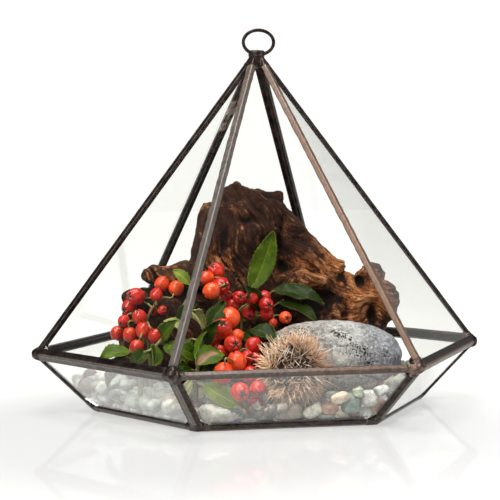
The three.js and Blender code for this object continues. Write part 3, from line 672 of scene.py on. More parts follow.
def berry_material():
    """Glossy skin from red to orange with paler flecks, dark and dry in the star at its end."""
    material, tree, place, shader, _ = painted(
        "berry skin", Coat_Weight=0.16, Coat_Roughness=0.14, Specular_IOR_Level=0.35,
        Subsurface_Weight=0.10, Subsurface_Scale=0.002,
    )
    tone = mark(tree, "tone")
    calyx = mark(tree, "calyx")
    skin = mixed(tree, ranged(tree, tone, 0.0, 1.0), (0.50, 0.010, 0.008), (0.86, 0.085, 0.010))
    cloud = mottled(tree, place, 420.0, (0.66, 0.62, 0.60), (1.08, 1.12, 1.2))
    dappled = tinted(tree, skin, cloud["Colour"])
    flecks = speckle(tree, place, 2600.0, 2.0)
    freckled = mixed(tree, ranged(tree, flecks, 0.62, 0.74, 0.0, 0.35), dappled, (0.90, 0.26, 0.10))
    dry = mixed(tree, ranged(tree, calyx, 0.25, 0.8, 0.0, 0.92), freckled, (0.060, 0.008, 0.006))
    feed(
        tree, shader,
        Base_Color=mixed(tree, ranged(tree, calyx, 0.85, 1.0), dry, (0.022, 0.012, 0.008)),
        Roughness=ranged(tree, calyx, 0.1, 0.7, 0.34, 0.8),
        Normal=relief(tree, speckle(tree, place, 1100.0, 3.0), 0.00025, 0.35),
    )
    return material


def stalk_material():
    """Stems and stalks: green, yellowing and browning in stretches, with fine ridges."""
    material, tree, place, shader, _ = painted("stalks", Roughness=0.55, Specular_IOR_Level=0.35)
    stretch = mottled(tree, place, 90.0, (0.115, 0.150, 0.030), (0.36, 0.27, 0.10))
    bark = mixed(tree, mark(tree, "bark"), stretch["Colour"], (0.085, 0.045, 0.024))
    feed(tree, shader, Base_Color=bark, Normal=relief(tree, speckle(tree, place, 1800.0), 0.0003, 0.5))
    return material


def leaf_material():
    """Leaves: paler midrib and side veins, a darker or browned blade, and a pale underside."""
    material, tree, place, shader, _ = painted(
        "leaf blade", Specular_IOR_Level=0.12, Subsurface_Weight=0.06, Subsurface_Scale=0.0015
    )
    blade = mark(tree, "blade", "Vector")  # along 0 to 1, across -1 to 1, vein strength
    parts = parts_of(tree, blade)
    own = mark(tree, "colour", "Color")
    cloud = mottled(tree, place, 210.0, (0.60, 0.66, 0.55), (1.25, 1.16, 1.20))
    green = tinted(tree, own, cloud["Colour"])
    lighter = tinted(tree, own, (2.4, 1.9, 2.6))
    veined = mixed(tree, ranged(tree, parts[2], 0.25, 1.0, 0.0, 0.75), green, lighter)
    edge = ranged(tree, maths(tree, "ABSOLUTE", parts[1]), 0.90, 1.0, 0.0, 0.4)
    rim = mixed(tree, edge, veined, lighter)
    brown = mixed(tree, mark(tree, "brown"), rim, (0.30, 0.17, 0.11))
    spots = speckle(tree, place, 1500.0, 2.0)
    feed(
        tree, shader,
        Base_Color=mixed(tree, ranged(tree, spots, 0.68, 0.80, 0.0, 0.5), brown, (0.05, 0.035, 0.012)),
        Roughness=ranged(tree, cloud["Mask"], 0.0, 1.0, 0.38, 0.55),
        Normal=relief(tree, speckle(tree, place, 900.0, 4.0), 0.0004, 0.5),
    )
    return material


# The table glows a little itself, from FLOOR_NEAR round its middle to FLOOR_FAR away from it.
FLOOR_MIDDLE = (-0.045, -0.07, 0.0)  # metres
FLOOR_FADE = (0.09, 0.28)  # metres from the middle
FLOOR_NEAR = 0.63
FLOOR_FAR = 1.21
FLOOR_MIRRORED = 0.95  # as reflections see it
FLOOR_BOUNCE = 0.20  # as what it lights sees it
FLOOR_GLOSS = 0.22


def floor_material():
    """A bright white glossy table top. It shines a little itself, more so away from the middle, so
    that it fades into the white round it and shadows stay pale. Only the camera sees it mirror, and
    in reflections it is bright all over, which lays a faint veil on the tray's panes."""
    grey = (0.19, 0.19, 0.19, 1)
    material, tree, place, shader, output = painted("white table", Base_Color=grey, Roughness=0.6)
    path = add(tree, "ShaderNodeLightPath").outputs
    away = add(
        tree, "ShaderNodeVectorMath", {0: place, 1: FLOOR_MIDDLE}, operation="DISTANCE"
    ).outputs["Value"]
    seen = ranged(tree, away, *FLOOR_FADE, FLOOR_NEAR, FLOOR_FAR)
    bounced = maths(tree, "MINIMUM", path["Glossy Depth"], 1.0)
    shown = mixed_value(tree, bounced, seen, FLOOR_MIRRORED)
    glow = mixed_value(tree, path["Is Diffuse Ray"], shown, FLOOR_BOUNCE)
    light = add(tree, "ShaderNodeEmission", {"Color": (1.0, 1.0, 0.985, 1), "Strength": glow})
    matt = add(tree, "ShaderNodeAddShader", {0: shader.outputs[0], 1: light.outputs[0]})
    mirror = add(tree, "ShaderNodeBsdfGlossy", {"Color": (1, 1, 1, 1), "Roughness": 0.05})
    gloss = mixed_value(tree, bounced, FLOOR_GLOSS, 0.0)
    both = add(tree, "ShaderNodeMixShader", {0: gloss, 1: matt.outputs[0], 2: mirror.outputs[0]})
    tree.links.new(both.outputs[0], output.inputs["Surface"])
    return material


METAL = metal_material()
GLASS_CLEAR = glass_material("clear roof glass", 1.18)
GLASS_TRAY = glass_material("clear tray glass", 1.5)
WOOD = driftwood_material()
STONE = stone_material()
PEBBLES = gravel_material()
SPINES = burr_material()
BERRY = berry_material()
STALK = stalk_material()
LEAF = leaf_material()


# ---- The glass body: corners, faces and the metal strips on its edges ----
def corner(radius, k, z):
    """The corner k of a regular hexagon round Z."""
    angle = k * TURN / SIDES
    return np.array([radius * math.cos(angle), radius * math.sin(angle), z])


APEX = np.array([0.0, 0.0, APEX_HEIGHT])
GIRDLE = [corner(GIRDLE_RADIUS, k, GIRDLE_HEIGHT) for k in range(SIDES)]
BASE = [corner(BASE_RADIUS, k, LIP) for k in range(SIDES)]


def normal_of(a, b, c):
    """The normal of a triangle."""
    return unit(np.cross(b - a, c - a))


def after(k):
    """The corner after corner k."""
    return (k + 1) % SIDES


UPPER = [normal_of(GIRDLE[k], GIRDLE[after(k)], APEX) for k in range(SIDES)]
LOWER = [normal_of(GIRDLE[k], BASE[k], BASE[after(k)]) for k in range(SIDES)]
UNDER = np.array([0.0, 0.0, -1.0])


def roof(k):
    """The normal of an upper pane, or None where the pane is left out."""
    return None if k % SIDES == OPEN_SIDE else UPPER[k % SIDES]


def faces_of(usual, other, *those):
    """The width of a kind of strip on each side or corner, which is other on those."""
    return [other if k in those else usual for k in range(SIDES)]


RIB_FACES = faces_of(RIB_FACE, SLIM_FACE, 0)
GIRDLE_FACES = faces_of(GIRDLE_FACE, OPEN_BAR_FACE, OPEN_SIDE)
STRUT_FACES = faces_of(STRUT_FACE, SLIM_FACE, 0, 3)
BASE_FACES = faces_of(BASE_FACE, SLIM_FACE, 0, 5)
# Edges: start, end, the normals of the faces on the left and right, and the strip's width.
RIBS = [(GIRDLE[k], APEX, roof(k - 1), roof(k), RIB_FACES[k]) for k in range(SIDES)]
GIRDLE_BARS = [
    (GIRDLE[k], GIRDLE[after(k)], roof(k), LOWER[k], GIRDLE_FACES[k]) for k in range(SIDES)
]
STRUTS = [(BASE[k], GIRDLE[k], LOWER[k - 1], LOWER[k], STRUT_FACES[k]) for k in range(SIDES)]
BASE_BARS = [(BASE[k], BASE[after(k)], LOWER[k], UNDER, BASE_FACES[k]) for k in range(SIDES)]

# How rubbed the corners of a strip are, from 0 to 1: wear, and also a painted highlight along
# each corner.
SEAM_WEAR_AND_HIGHLIGHT = 0.6
OPEN_WEAR_AND_HIGHLIGHT = 0.5
LIP_WEAR_AND_HIGHLIGHT = 0.3


def strip_section(edge):
    """Points round an edge line, each with how rubbed it is, as wear and as a painted highlight: two
    folded strips meeting in a seam, or one slimmer strip with a closing face on the side where the
    pane is missing."""
    start, end, left, right, width = edge
    along = unit(end - start)
    depth = GLASS + LIP

    def arm(normal, turn):
        inward = np.cross(normal, along) * turn
        return lambda s, out: s * inward + out * normal

    def mouth(on, deep):
        return [(on(width, LIP), LIP_WEAR_AND_HIGHLIGHT), (on(width, -deep), 0)]

    if left is None or right is None:
        on = arm(right, -1) if left is None else arm(left, 1)
        slim = GLASS + SLOT_ROOM
        opening = [(on(-OPEN_EDGE, LIP), OPEN_WEAR_AND_HIGHLIGHT), (on(-OPEN_EDGE, -slim), LIP_WEAR_AND_HIGHLIGHT)]
        return [opening[0], *mouth(on, slim), opening[1]]
    on_left, on_right = arm(left, 1), arm(right, -1)
    ridge = unit(left + right)
    outer = ridge * LIP / ridge.dot(left)
    inner = -ridge * depth / ridge.dot(left)
    return [
        (outer + on_right(SEAM, 0), SEAM_WEAR_AND_HIGHLIGHT), *mouth(on_right, depth), (inner, 0),
        *mouth(on_left, depth)[::-1], (outer + on_left(SEAM, 0), SEAM_WEAR_AND_HIGHLIGHT),
    ]


def rounded(section, handled):
    """Each corner of the section as five points: a small arc of three, and one on each side of it
    that keeps the flat flat. The arc is the most rubbed, which paints a narrow highlight along it as
    well as wear, unless hands have rubbed the outside, which paints a broad sheen as well as wear."""
    points = np.array([p for p, _ in section])
    rub_sheen = np.array([r for _, r in section])
    before, behind = np.roll(points, 1, 0) - points, np.roll(points, -1, 0) - points
    arc, hold = [], []
    for v in (before, behind):
        size = np.linalg.norm(v, axis=1)
        reach = np.minimum(SECTION_ROUND, 0.34 * size)
        arc.append(points + v * (reach / size)[:, None])
        hold.append(points + v * ((reach + np.minimum(SECTION_SUPPORT, 0.12 * size)) / size)[:, None])
    middle = (arc[0] + arc[1] + 2 * points) / 4
    ring = np.stack([hold[0], arc[0], middle, arc[1], hold[1]], 1).reshape(-1, 3)
    # the arc is rubbed most: wear and a painted highlight line; handled strips get a painted sheen
    worn = rub_sheen[:, None] * np.array([0.45, 0.9, 1, 0.9, 0.45])
    return ring, np.maximum(worn, handled * (rub_sheen[:, None] > 0)).ravel()


def strip(edge, start, end, seed=0, handled=0.0):
    """A length of strip: its section carried along the edge, with solder rippled on its seam."""
    offsets, rub_sheen = rounded(strip_section(edge), handled)
    along = unit(edge[1] - edge[0])
    rings = max(3, int((end - start) / STRIP_STEP))
    places = (edge[0] + np.linspace(start, end, rings)[:, None] * along)[:, None]
    ripple = 0.09 * noise((places + offsets) / 2.3, seed)[..., None] * (rub_sheen[None, :, None] > 0.5)
    points = places + offsets * (1 + ripple)
    size = len(offsets)
    ends = np.array([np.arange(size)[::-1], np.arange(size) + (rings - 1) * size])
    return outward(shape(points, grid_faces(rings, size, wrap=True), ends, rubbed=np.tile(rub_sheen, rings)))


def length(edge):
    """How long an edge is."""
    return np.linalg.norm(edge[1] - edge[0])


def strip_end(edge, reach):
    """The last stretch of a strip."""
    return strip(edge, length(edge) - reach, length(edge))


def solder(shapes, seed, rounds=4, bare=0.22):
    """Solder run over strip ends: melted together, swollen a little and left lumpy. It is bare on
    its bulges and patinated in its hollows."""
    made = fused(shapes, SOLDER_VOXEL, rounds)
    points, normals = made["points"], normals_of(made)
    swell = 0.10 + 0.26 * noise(points / 2.6, seed) + 0.08 * noise(points / 1.1, seed + 5)
    made["points"] = points + normals * swell[:, None]
    rub_sheen = bare - 1.6 * hollows_of(made, 3) + 0.20 * noise(points / 1.6, seed + 9)
    made["marks"]["rubbed"] = np.clip(rub_sheen, 0, 0.8)
    return made


def lump(centre, radius, seed):
    """An uneven ball of solder."""
    made = ball(10)
    swell = radius * (1 + 0.10 * noise(made["points"] * 2.2, seed))
    made["points"] = np.asarray(centre) + made["points"] * swell[:, None]
    return made


def girdle_joint(k):
    """Bars, rib and strut run together. The two joints beside the opening are neater, and the
    second of them is more rubbed.
    """
    beside = k in (OPEN_SIDE, after(OPEN_SIDE))
    radius = JOINT_LUMP * (0.86 if beside else 1)
    toward = unit(GIRDLE[k] * (1, 1, 0)) * -2.0
    up = unit(APEX - GIRDLE[k])
    ends = [
        strip(RIBS[k], 0, GIRDLE_REACH),
        strip(GIRDLE_BARS[k], 0, GIRDLE_REACH),
        strip_end(GIRDLE_BARS[k - 1], GIRDLE_REACH),
        strip_end(STRUTS[k], GIRDLE_REACH),
        lump(GIRDLE[k] + toward, radius, k),
        lump(GIRDLE[k] + 1.5 * toward + up * 1.8, radius * 0.85, k + 9),
        lump(GIRDLE[k] + 2.0 * toward + up * 3.6, radius * 0.66, k + 5),
    ]
    return solder(ends, 20 + k, 7, 0.36 if k == after(OPEN_SIDE) else 0.26)


def base_joint(k):
    """Two base bars and a strut run together, flat on the table."""
    centre = BASE[k] * (0.985, 0.985, 0) + (0, 0, BASE_LUMP + 0.35)
    ends = [
        strip(STRUTS[k], 0, BASE_REACH),
        strip(BASE_BARS[k], 0, BASE_REACH),
        strip_end(BASE_BARS[k - 1], BASE_REACH),
        lump(centre, BASE_LUMP, 40 + k),
    ]
    made = solder(ends, 60 + k)
    made["points"][:, 2] = np.maximum(made["points"][:, 2], 0)
    return made


def revolve(profile, sides=32):
    """A profile of (radius, height) points turned about Z, closed on the axis at both ends."""
    profile = np.asarray(profile, float)
    angle = full_turn(sides)
    ring = np.stack([np.cos(angle), np.sin(angle), np.zeros(sides)], -1)
    points = profile[:, 0, None, None] * ring + profile[:, 1, None, None] * (0, 0, 1)
    return outward(shape(points, grid_faces(len(profile), sides, wrap=True)))


def apex_cap():
    """Rib ends fused under a round button of solder that stands at the foot of the ring."""
    ends = [strip(edge, length(edge) - CAP_REACH, length(edge) - 3) for edge in RIBS]
    filler = revolve([
        (ON_AXIS, CAP_FOOT - 6.5), (5.0, CAP_FOOT - 5.5), (3.6, CAP_FOOT), (ON_AXIS, CAP_FOOT + 0.5),
    ])
    button = revolve([
        (ON_AXIS, CAP_FOOT - 2), (CAP_RADIUS - 0.6, CAP_FOOT - 0.6), (CAP_RADIUS, CAP_FOOT + 0.1),
        (CAP_RADIUS, CAP_TOP - 1.1), (CAP_RADIUS - 0.7, CAP_TOP - 0.4), (ON_AXIS, CAP_TOP - 0.2),
    ])
    return solder([*ends, filler, button], 90)


def hanging_ring():
    """An upright oval of round wire, a shade uneven, with its foot in the cap."""
    around, section = 96, 16
    t = full_turn(around)[:, None]
    a = full_turn(section)[None, :]
    wire = RING_WIRE * (1 + 0.03 * np.sin(5 * t + 1))
    out = wire * np.cos(a)
    x = RING_SHIFT + (RING_HALF_WIDTH + out) * np.cos(t)
    z = RING_HEIGHT + (RING_HALF_HEIGHT + out) * np.sin(t)
    y = wire * np.sin(a) + 0 * t
    points = np.stack([x, y, z], -1)
    faces = grid_faces(around + 1, section, wrap=True)[:, [0, 3, 2, 1]] % (around * section)
    rub_sheen = np.clip(0.10 + 0.3 * noise(points.reshape(-1, 3) / 3, 4), 0, 1)
    return outward(shape(points, faces, rubbed=rub_sheen))


def splashed(made):
    """Solder spilt on a rib between two heights: bare in blotches."""
    z, (low, high) = made["points"][:, 2], SPLASH
    band = smoothstep(z, low - 1, low + 1) * smoothstep(-z, -high - 1, -high + 1)
    blotch = smoothstep(layered(made["points"] / 2.0, 2, 7), -0.7, 0.2)
    made["marks"]["rubbed"] = np.maximum(made["marks"]["rubbed"], band * blotch)
    return made


def build_frame():
    """A piece for each strip between its joints, each joint, the cap and the ring."""
    for k in range(SIDES):
        n = k + 1
        bars = {
            "rib": (RIBS[k], GIRDLE_REACH, CAP_REACH),
            "girdle_bar": (GIRDLE_BARS[k], GIRDLE_REACH, GIRDLE_REACH),
            "strut": (STRUTS[k], BASE_REACH, GIRDLE_REACH),
            "base_bar": (BASE_BARS[k], BASE_REACH, BASE_REACH),
        }
        for kind, (edge, first, last) in bars.items():
            node = f"{kind}_{n}"
            first, last = first - INTO_JOINT, length(edge) - last + INTO_JOINT
            # hand wear, and a painted broad sheen on the front strips
            made = strip(edge, first, last, 7 * n + len(kind), HAND_WEAR_AND_SHEEN.get(node, 0.0))
            if node == SPLASHED:
                made = splashed(made)
            piece(f"{kind}_strip_{n}", [(made, METAL)], "frame", node)
        piece(f"girdle_solder_{n}", [(girdle_joint(k), METAL)], "frame", f"girdle_joint_{n}")
        piece(f"base_solder_{n}", [(base_joint(k), METAL)], "frame", f"base_joint_{n}")
    piece("apex_solder", [(apex_cap(), METAL)], "frame", "apex_cap")
    piece("ring_wire", [(hanging_ring(), METAL)], "frame", "hanging_ring")


def dress_glass():
    """The panes stay the part's own, in glass that bends light less on the roof."""
    for name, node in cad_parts.items():
        if "pane" in name:
            node.data.materials.clear()
            node.data.materials.append(GLASS_CLEAR if name.startswith("upper") else GLASS_TRAY)


# ---- Driftwood ----
# Limbs: knots of the middle line, radii along it.
WOOD_LIMBS = [
    ([(-8, 20, 8), (-7, 19, 50), (-6, 18, 84), (-1, 18, 100), (5, 18, 112)], (20, 25, 24, 20, 16)),
    ([(4, 18, 78), (5, 18, 94), (7, 18, 106), (9, 18, 114.5)], (14, 13.5, 11, 7)),
    ([(-22, 18, 60), (-21, 17, 84), (-20, 17, 97), (-18, 17, 104)], (13, 11, 9, 6)),
    ([(6, 18, 104), (17, 17, 86), (30, 15, 71), (44, 13, 63)], (11, 13, 13, 12)),
    ([(-4, 16, 62), (22, 13, 57), (44, 11, 55), (56, 10, 52)], (15, 17, 15, 12)),
    ([(54, 10, 54), (60, 9, 61), (63, 8, 66), (66, 8, 64)], (9, 8, 6, 4)),
    ([(60, 9, 56), (67, 8, 55), (69, 8, 49), (66, 9, 42)], (9, 7.5, 6, 5)),
    ([(60, 9, 57), (61, 9, 38), (58, 9, 12)], (10, 9, 8.5)),
    ([(30, 13, 62), (38, 10, 40), (36, 10, 8)], (17, 18, 14)),
    ([(50, 11, 50), (52, 10, 34), (50, 10, 10)], (12, 12, 11)),
    ([(-16, 15, 66), (-38, 10, 68), (-53, 6, 69.5), (-61, 4, 70.5)], (11, 7, 5, 3)),
    ([(-20, 16, 52), (-36, 12, 57), (-46, 9, 58)], (12, 8, 4)),
    ([(-26, 15, 34), (-50, 10, 46), (-62, 7, 50), (-68, 6, 49)], (19, 15, 12, 10)),
    ([(-50, 11, 46), (-58, 9, 30), (-58, 9, 10)], (14, 13, 10)),
    ([(-64, 7, 50), (-66, 6, 36), (-64, 7, 16)], (8, 8, 8)),
    ([(14, 2, 60), (22, 0, 66), (32, 1, 63), (36, 4, 56)], (5, 6, 6, 4)),
    ([(-8, 22, 76), (-16, 32, 44), (-24, 37, 10)], (12, 13, 10)),
    ([(12, 22, 70), (20, 31, 42), (22, 34, 10)], (9, 11, 9)),
]
WOOD_DEPTH = 0.75  # thickness of a limb front to back, against its width
WOOD_VOXEL = 0.9
GRAIN_CENTRE = (-45.0, 22.0)  # x and z about which the grain turns
GRAIN_SPAN = 90.0
# Hollows pressed in, dark with painted shade: x, z, half width, half height, depth.
WOOD_DENTS = [
    (33, 55, 9, 8, 8), (18, 50, 9, 6, 5), (46, 66, 4, 4, 4), (62, 46, 3, 6, 5), (57, 64, 3.5, 4, 6),
    (2, 78, 3, 13, 3.5), (12, 88, 3, 10, 2.5), (-18, 88, 4, 12, 3), (-40, 60, 12, 3, 5), (22, 59, 7, 2, 4),
    (-4, 98, 8, 3, 2), (46, 44, 3, 9, 3),
]
# Warm places: x, z, half width, half height, strength.
WOOD_WARM = [
    (36, 73, 14, 9, 0.95), (52, 50, 16, 16, 0.85), (66, 56, 9, 12, 0.75), (22, 66, 12, 6, 0.55),
    (-10, 95, 5, 8, 0.35), (-2, 86, 12, 4, 0.30), (-18, 74, 10, 8, 0.70), (14, 82, 7, 12, 0.25),
    (-52, 69, 13, 5, 0.40), (2, 68, 10, 6, 0.25), (-66, 50, 6, 12, 0.15),
]


def grain_places(points):
    """Across and along the grain: the two parts of (x + iz) squared, whose lines come down the
    hump and turn out along the right arm, after wandering. The third part is depth."""
    x, z = (
        points[:, axis] + 6 * noise(points / 16, 71 + k) + 1.3 * layered(points / 5.5, 2, 75 + k) - centre
        for k, (axis, centre) in enumerate(zip((0, 2), GRAIN_CENTRE))
    )
    return np.stack([x * z / GRAIN_SPAN, (x * x - z * z) / (2 * GRAIN_SPAN), points[:, 1]], -1)


def spots(points, places):
    """The sum of soft round spots on the x-z plane, each with its own half sizes and strength."""
    return sum(
        strength * bell(points[:, 0] - x, wide) * bell(points[:, 2] - z, high)
        for x, z, wide, high, strength in places
    )


def driftwood():
    """Limbs melted together, then pushed in and out: slow lumps, dents, and fibres that follow the
    grain in layers of finer and finer noise, with short cracks along it where a folded noise passes
    through zero."""
    made = fused([tube(k, r, 20, 26, WOOD_DEPTH) for k, r in WOOD_LIMBS], WOOD_VOXEL, 4)
    points, normals = made["points"], normals_of(made)
    points = points + normals * (2.0 * noise(points / 19, 3) + 1.6 * noise(points / 8, 4))[:, None]
    facing = smoothstep(-normals[:, 1], 0.0, 0.7)
    points[:, 1] += spots(points, WOOD_DENTS) * facing
    flow = grain_places(points)
    ridge = 1 - np.abs(noise(flow / (6.0, 48.0, 9.0), 11))
    strand = 1 - np.abs(layered(flow / (3.2, 34.0, 5.0), 2, 12)) * 0.8
    thread = layered(flow / (1.7, 18.0, 3.0), 2, 13)
    crack = smoothstep(np.abs(noise(flow / (7.0, 95.0, 30.0), 14)), 0.07, 0.0)
    crack = crack * smoothstep(noise(flow / (16.0, 40.0, 16.0), 16), -0.1, 0.3)
    rough = layered(points / 3.4, 3, 15)
    push = 1.2 * (ridge - 0.6) + 0.8 * (strand - 0.6) + 0.30 * thread - 1.4 * crack + 0.45 * rough
    made["points"] = points + normals_of(made) * push[:, None]
    made["points"][:, 2] = np.maximum(made["points"][:, 2], TRAY_FLOOR + 2)
    # the hollow mark paints shade into hollows, cracks and dents and a highlight onto crests; the tone is
    # also lowered along cracks as painted shade
    hollow = hollows_of(made, 4) + 0.25 * crack
    tone = spots(points, WOOD_WARM) + 0.2 * noise(flow / (6, 40, 8), 21) - 0.2 * crack
    hollow = hollow + 0.5 * spots(points, WOOD_DENTS) / 7 * facing
    made["marks"] = {"flow": flow, "tone": np.clip(tone, -1, 1.2), "hollow": hollow}
    return made


# ---- Grey stone ----
STONE_CENTRE = (32, -36, 28.5)
STONE_RADII = (35.6, 20.6, 18.6)
STONE_TURN = (0, 0.06, 0.05)
STONE_SQUARE = 2.4
STONE_PITS = 190
# The crack, in x and z on the front of the stone.
STONE_CRACK = [(24, 26.5), (34, 25), (44, 22), (52, 19)]
# A rusty hollow: x, z, half width, half height, strength.
STONE_STAIN = [(16, 39, 3.4, 3.0, 1)]


def away_from_line(places, line):
    """Distance from each place to the nearest stretch of a bent line, both flat."""
    best = np.full(len(places), np.inf)
    for a, b in zip(line[:-1], line[1:]):
        a, b = np.array(a, float), np.array(b, float)
        t = np.clip((places - a) @ (b - a) / ((b - a) @ (b - a)), 0, 1)
        best = np.minimum(best, np.linalg.norm(places - a - t[:, None] * (b - a), axis=1))
    return best


def grey_stone():
    """A blocky worn ellipsoid: each direction's swell is the reciprocal of its power mean, with
    slow bumps, fine grain, scattered round pits and a crack across the front."""
    made = ball(96)
    d = made["points"]
    swell = (np.abs(d) ** STONE_SQUARE).sum(1) ** (-1 / STONE_SQUARE)
    swell = swell * (1 + 0.035 * noise(d * 1.9, 2) + 0.016 * noise(d * 5, 3))
    body = turned(d * swell[:, None] * STONE_RADII, STONE_TURN)
    random = np.random.default_rng(5)
    pits = unit(random.normal(size=(STONE_PITS, 3)))
    sizes = 0.012 + 0.026 * random.random(STONE_PITS) ** 3
    pit = np.zeros(len(d))
    for centre, size in zip(pits, sizes):
        stretched = (d - centre) * (0.8, 1, 1.3)
        pit = np.maximum(pit, bell(np.linalg.norm(stretched, axis=1), size, 3))
    pit = pit * smoothstep(noise(d * 3, 8), -0.3, 0.3)
    place = body + STONE_CENTRE
    front = smoothstep(-d[:, 1], 0.1, 0.4)
    shaken = place[:, [0, 2]] + 0.5 * noise(place / 3)[:, None]
    crack = bell(away_from_line(shaken, STONE_CRACK), 0.42) * front
    stain = spots(place, STONE_STAIN) * front
    normals = normals_of(shape(body, *made["faces"]))
    push = 0.22 * layered(place / 2.6, 3, 6) - 0.75 * pit - 0.5 * crack - 0.5 * stain
    made["points"] = place + normals * push[:, None]
    dark = np.clip(pit * 1.3 + crack * 0.8, 0, 1)
    made["marks"] = {"pit": dark, "stain": np.clip(stain * (0.6 + 0.5 * noise(place / 0.9, 9)), 0, 0.8)}
    return made


# ---- Chestnut burr ----
BURR_CENTRE = np.array([4.2, -71, 27.5])
BURR_REACH = np.array([21.5, 17.5, 20.0])
BURR_CORE = 0.54  # radius of the husk against the reach of the spines
BURR_TUFTS = 120
TUFT_SPINES = 17
TUFT_LEAN = 0.55  # how far a tuft leans, at random
SPINE_SPREAD = 0.46  # and a spine from its tuft
BURR_MOUTH = unit((-0.26, -0.90, 0.30))
MOUTH_SIZE = 0.50  # half its angle
MOUTH_ACROSS = 1.3  # how far spines there turn across the mouth
SPINE_RADIUS = 0.40
SPINE_RINGS = 6
STRAW = np.array([0.92, 0.60, 0.36])
BLUSH = np.array([0.50, 0.27, 0.16])
BLEACHED = np.array([0.95, 0.88, 0.76])
# near-black husk colour: painted shade under the spines
HUSK_SHADE = (0.020, 0.010, 0.006, 1)


def even_directions(count):
    """Directions evenly over a sphere: equal steps in height and the golden angle round."""
    k = np.arange(count) + 0.5
    z = 1 - 2 * k / count
    angle = k * math.pi * (3 - math.sqrt(5))
    level = np.sqrt(1 - z * z)
    return np.stack([level * np.cos(angle), level * np.sin(angle), z], -1)


def spines(path, direction, width):
    """Copies of one three-sided spine: rings of width round the path, square to the direction."""
    side = unit(np.cross(direction, (0.3, 0.2, 1.0)))
    up = np.cross(side, direction)
    angle = np.arange(3) * TURN / 3
    ring = np.cos(angle)[:, None] * side[:, None] + np.sin(angle)[:, None] * up[:, None]
    points = path[:, :, None] + width[..., None] * ring[:, None]
    end = (SPINE_RINGS - 1) * 3
    ends = np.array([[2, 1, 0], [end, end + 1, end + 2]])
    first = outward(shape(points[0], grid_faces(SPINE_RINGS, 3, wrap=True), ends))
    return copies(first, points.reshape(len(path), -1, 3))


def spine_colours(random, tint, dark, laid, u):
    """From blush to straw by tint, darker in the mouth with painted shade, and bleached where laid over
    it and here and there. Along a spine the colour grows from dark at its root by a power of u,
    partly the spine's own colour and partly painted shade towards the husk."""
    count = len(tint)
    own = BLUSH + (STRAW - BLUSH) * np.clip(0.75 * tint + 0.45 * random.random((count, 1)) - 0.1, 0, 1)
    # darker in the mouth: painted shade
    own = own * (1 - 0.7 * dark)[:, None]
    pale = np.clip(laid[:, None] + (random.random((count, 1)) > 0.87), 0, 1)
    own = own + (BLEACHED - own) * pale * 0.8
    # dark roots: partly the spine's colour, partly painted shade towards the husk
    shade = np.repeat(0.06 + 1.3 * u.ravel() ** 1.2, 3)[None, :, None]
    colour = np.concatenate([np.clip(own[:, None] * shade, 0, 0.9), np.ones((count, SPINE_RINGS * 3, 1))], -1)
    return colour.reshape(-1, 4)


def husk():
    """The ball under the spines, near-black with painted shade, uneven and sunk in the mouth."""
    made = ball(20)
    sunk = smoothstep(made["points"] @ BURR_MOUTH, math.cos(MOUTH_SIZE * 1.4), 1)
    swell = BURR_CORE * (1 + 0.06 * noise(made["points"] * 6, 2) - 0.55 * sunk)
    made["points"] = BURR_CENTRE + made["points"] * BURR_REACH * swell[:, None]
    made["marks"]["colour"] = np.tile(HUSK_SHADE, (len(made["points"]), 1))
    return made


def chestnut_burr():
    """Tufts of curved spines on a husk, each tuft a fan from one root. A spine bends by the square
    of the distance along it. In the mouth most are short and dark with painted shade, and a few lie
    over it, pale."""
    random = np.random.default_rng(8)
    tufts = unit(even_directions(BURR_TUFTS) + 0.20 * random.normal(size=(BURR_TUFTS, 3)))
    lean = unit(tufts + TUFT_LEAN * random.normal(size=(BURR_TUFTS, 3)))
    vigour = (0.60 + 0.42 * random.random(BURR_TUFTS)) * (1 + 0.22 * noise(tufts * 1.7, 31))
    tint = np.clip(random.random((BURR_TUFTS, 1)) - 0.5 * tufts[:, :1], 0, 1)
    tufts, lean, vigour, tint = (np.repeat(v, TUFT_SPINES, axis=0) for v in (tufts, lean, vigour, tint))
    count = len(tufts)
    jitter = random.normal(size=(count, 3))
    mouth = smoothstep(tufts @ BURR_MOUTH, math.cos(MOUTH_SIZE * 1.9), math.cos(MOUTH_SIZE * 0.8))
    across = unit(np.cross(BURR_MOUTH, random.normal(size=(count, 3))))
    direction = unit(unit(lean + SPINE_SPREAD * jitter) + mouth[:, None] * MOUTH_ACROSS * across)
    root = BURR_CENTRE + tufts * BURR_REACH * BURR_CORE * (0.94 - 0.40 * mouth)[:, None] + 0.6 * jitter
    reach = (1 - BURR_CORE) * BURR_REACH.mean() * vigour * (0.80 + 0.50 * random.random(count))
    laid = mouth * (jitter[:, 0] > 0.7)
    # spines in the mouth are short and get painted shade
    dark = mouth - laid
    reach = reach * (1 - 0.75 * dark)
    bend = random.normal(size=(count, 3)) * (0.16 + 0.30 * mouth)[:, None]
    u = np.linspace(0, 1, SPINE_RINGS)[None, :, None]
    path = root[:, None] + reach[:, None, None] * (direction[:, None] * u + bend[:, None] * u**2)
    width = SPINE_RADIUS * (0.6 + 0.6 * random.random((count, 1, 1))) * (1 - 0.88 * u**1.4)
    made = spines(path, direction, width)
    made["marks"]["colour"] = spine_colours(random, tint, dark, laid, u)
    return merged([made, husk()])


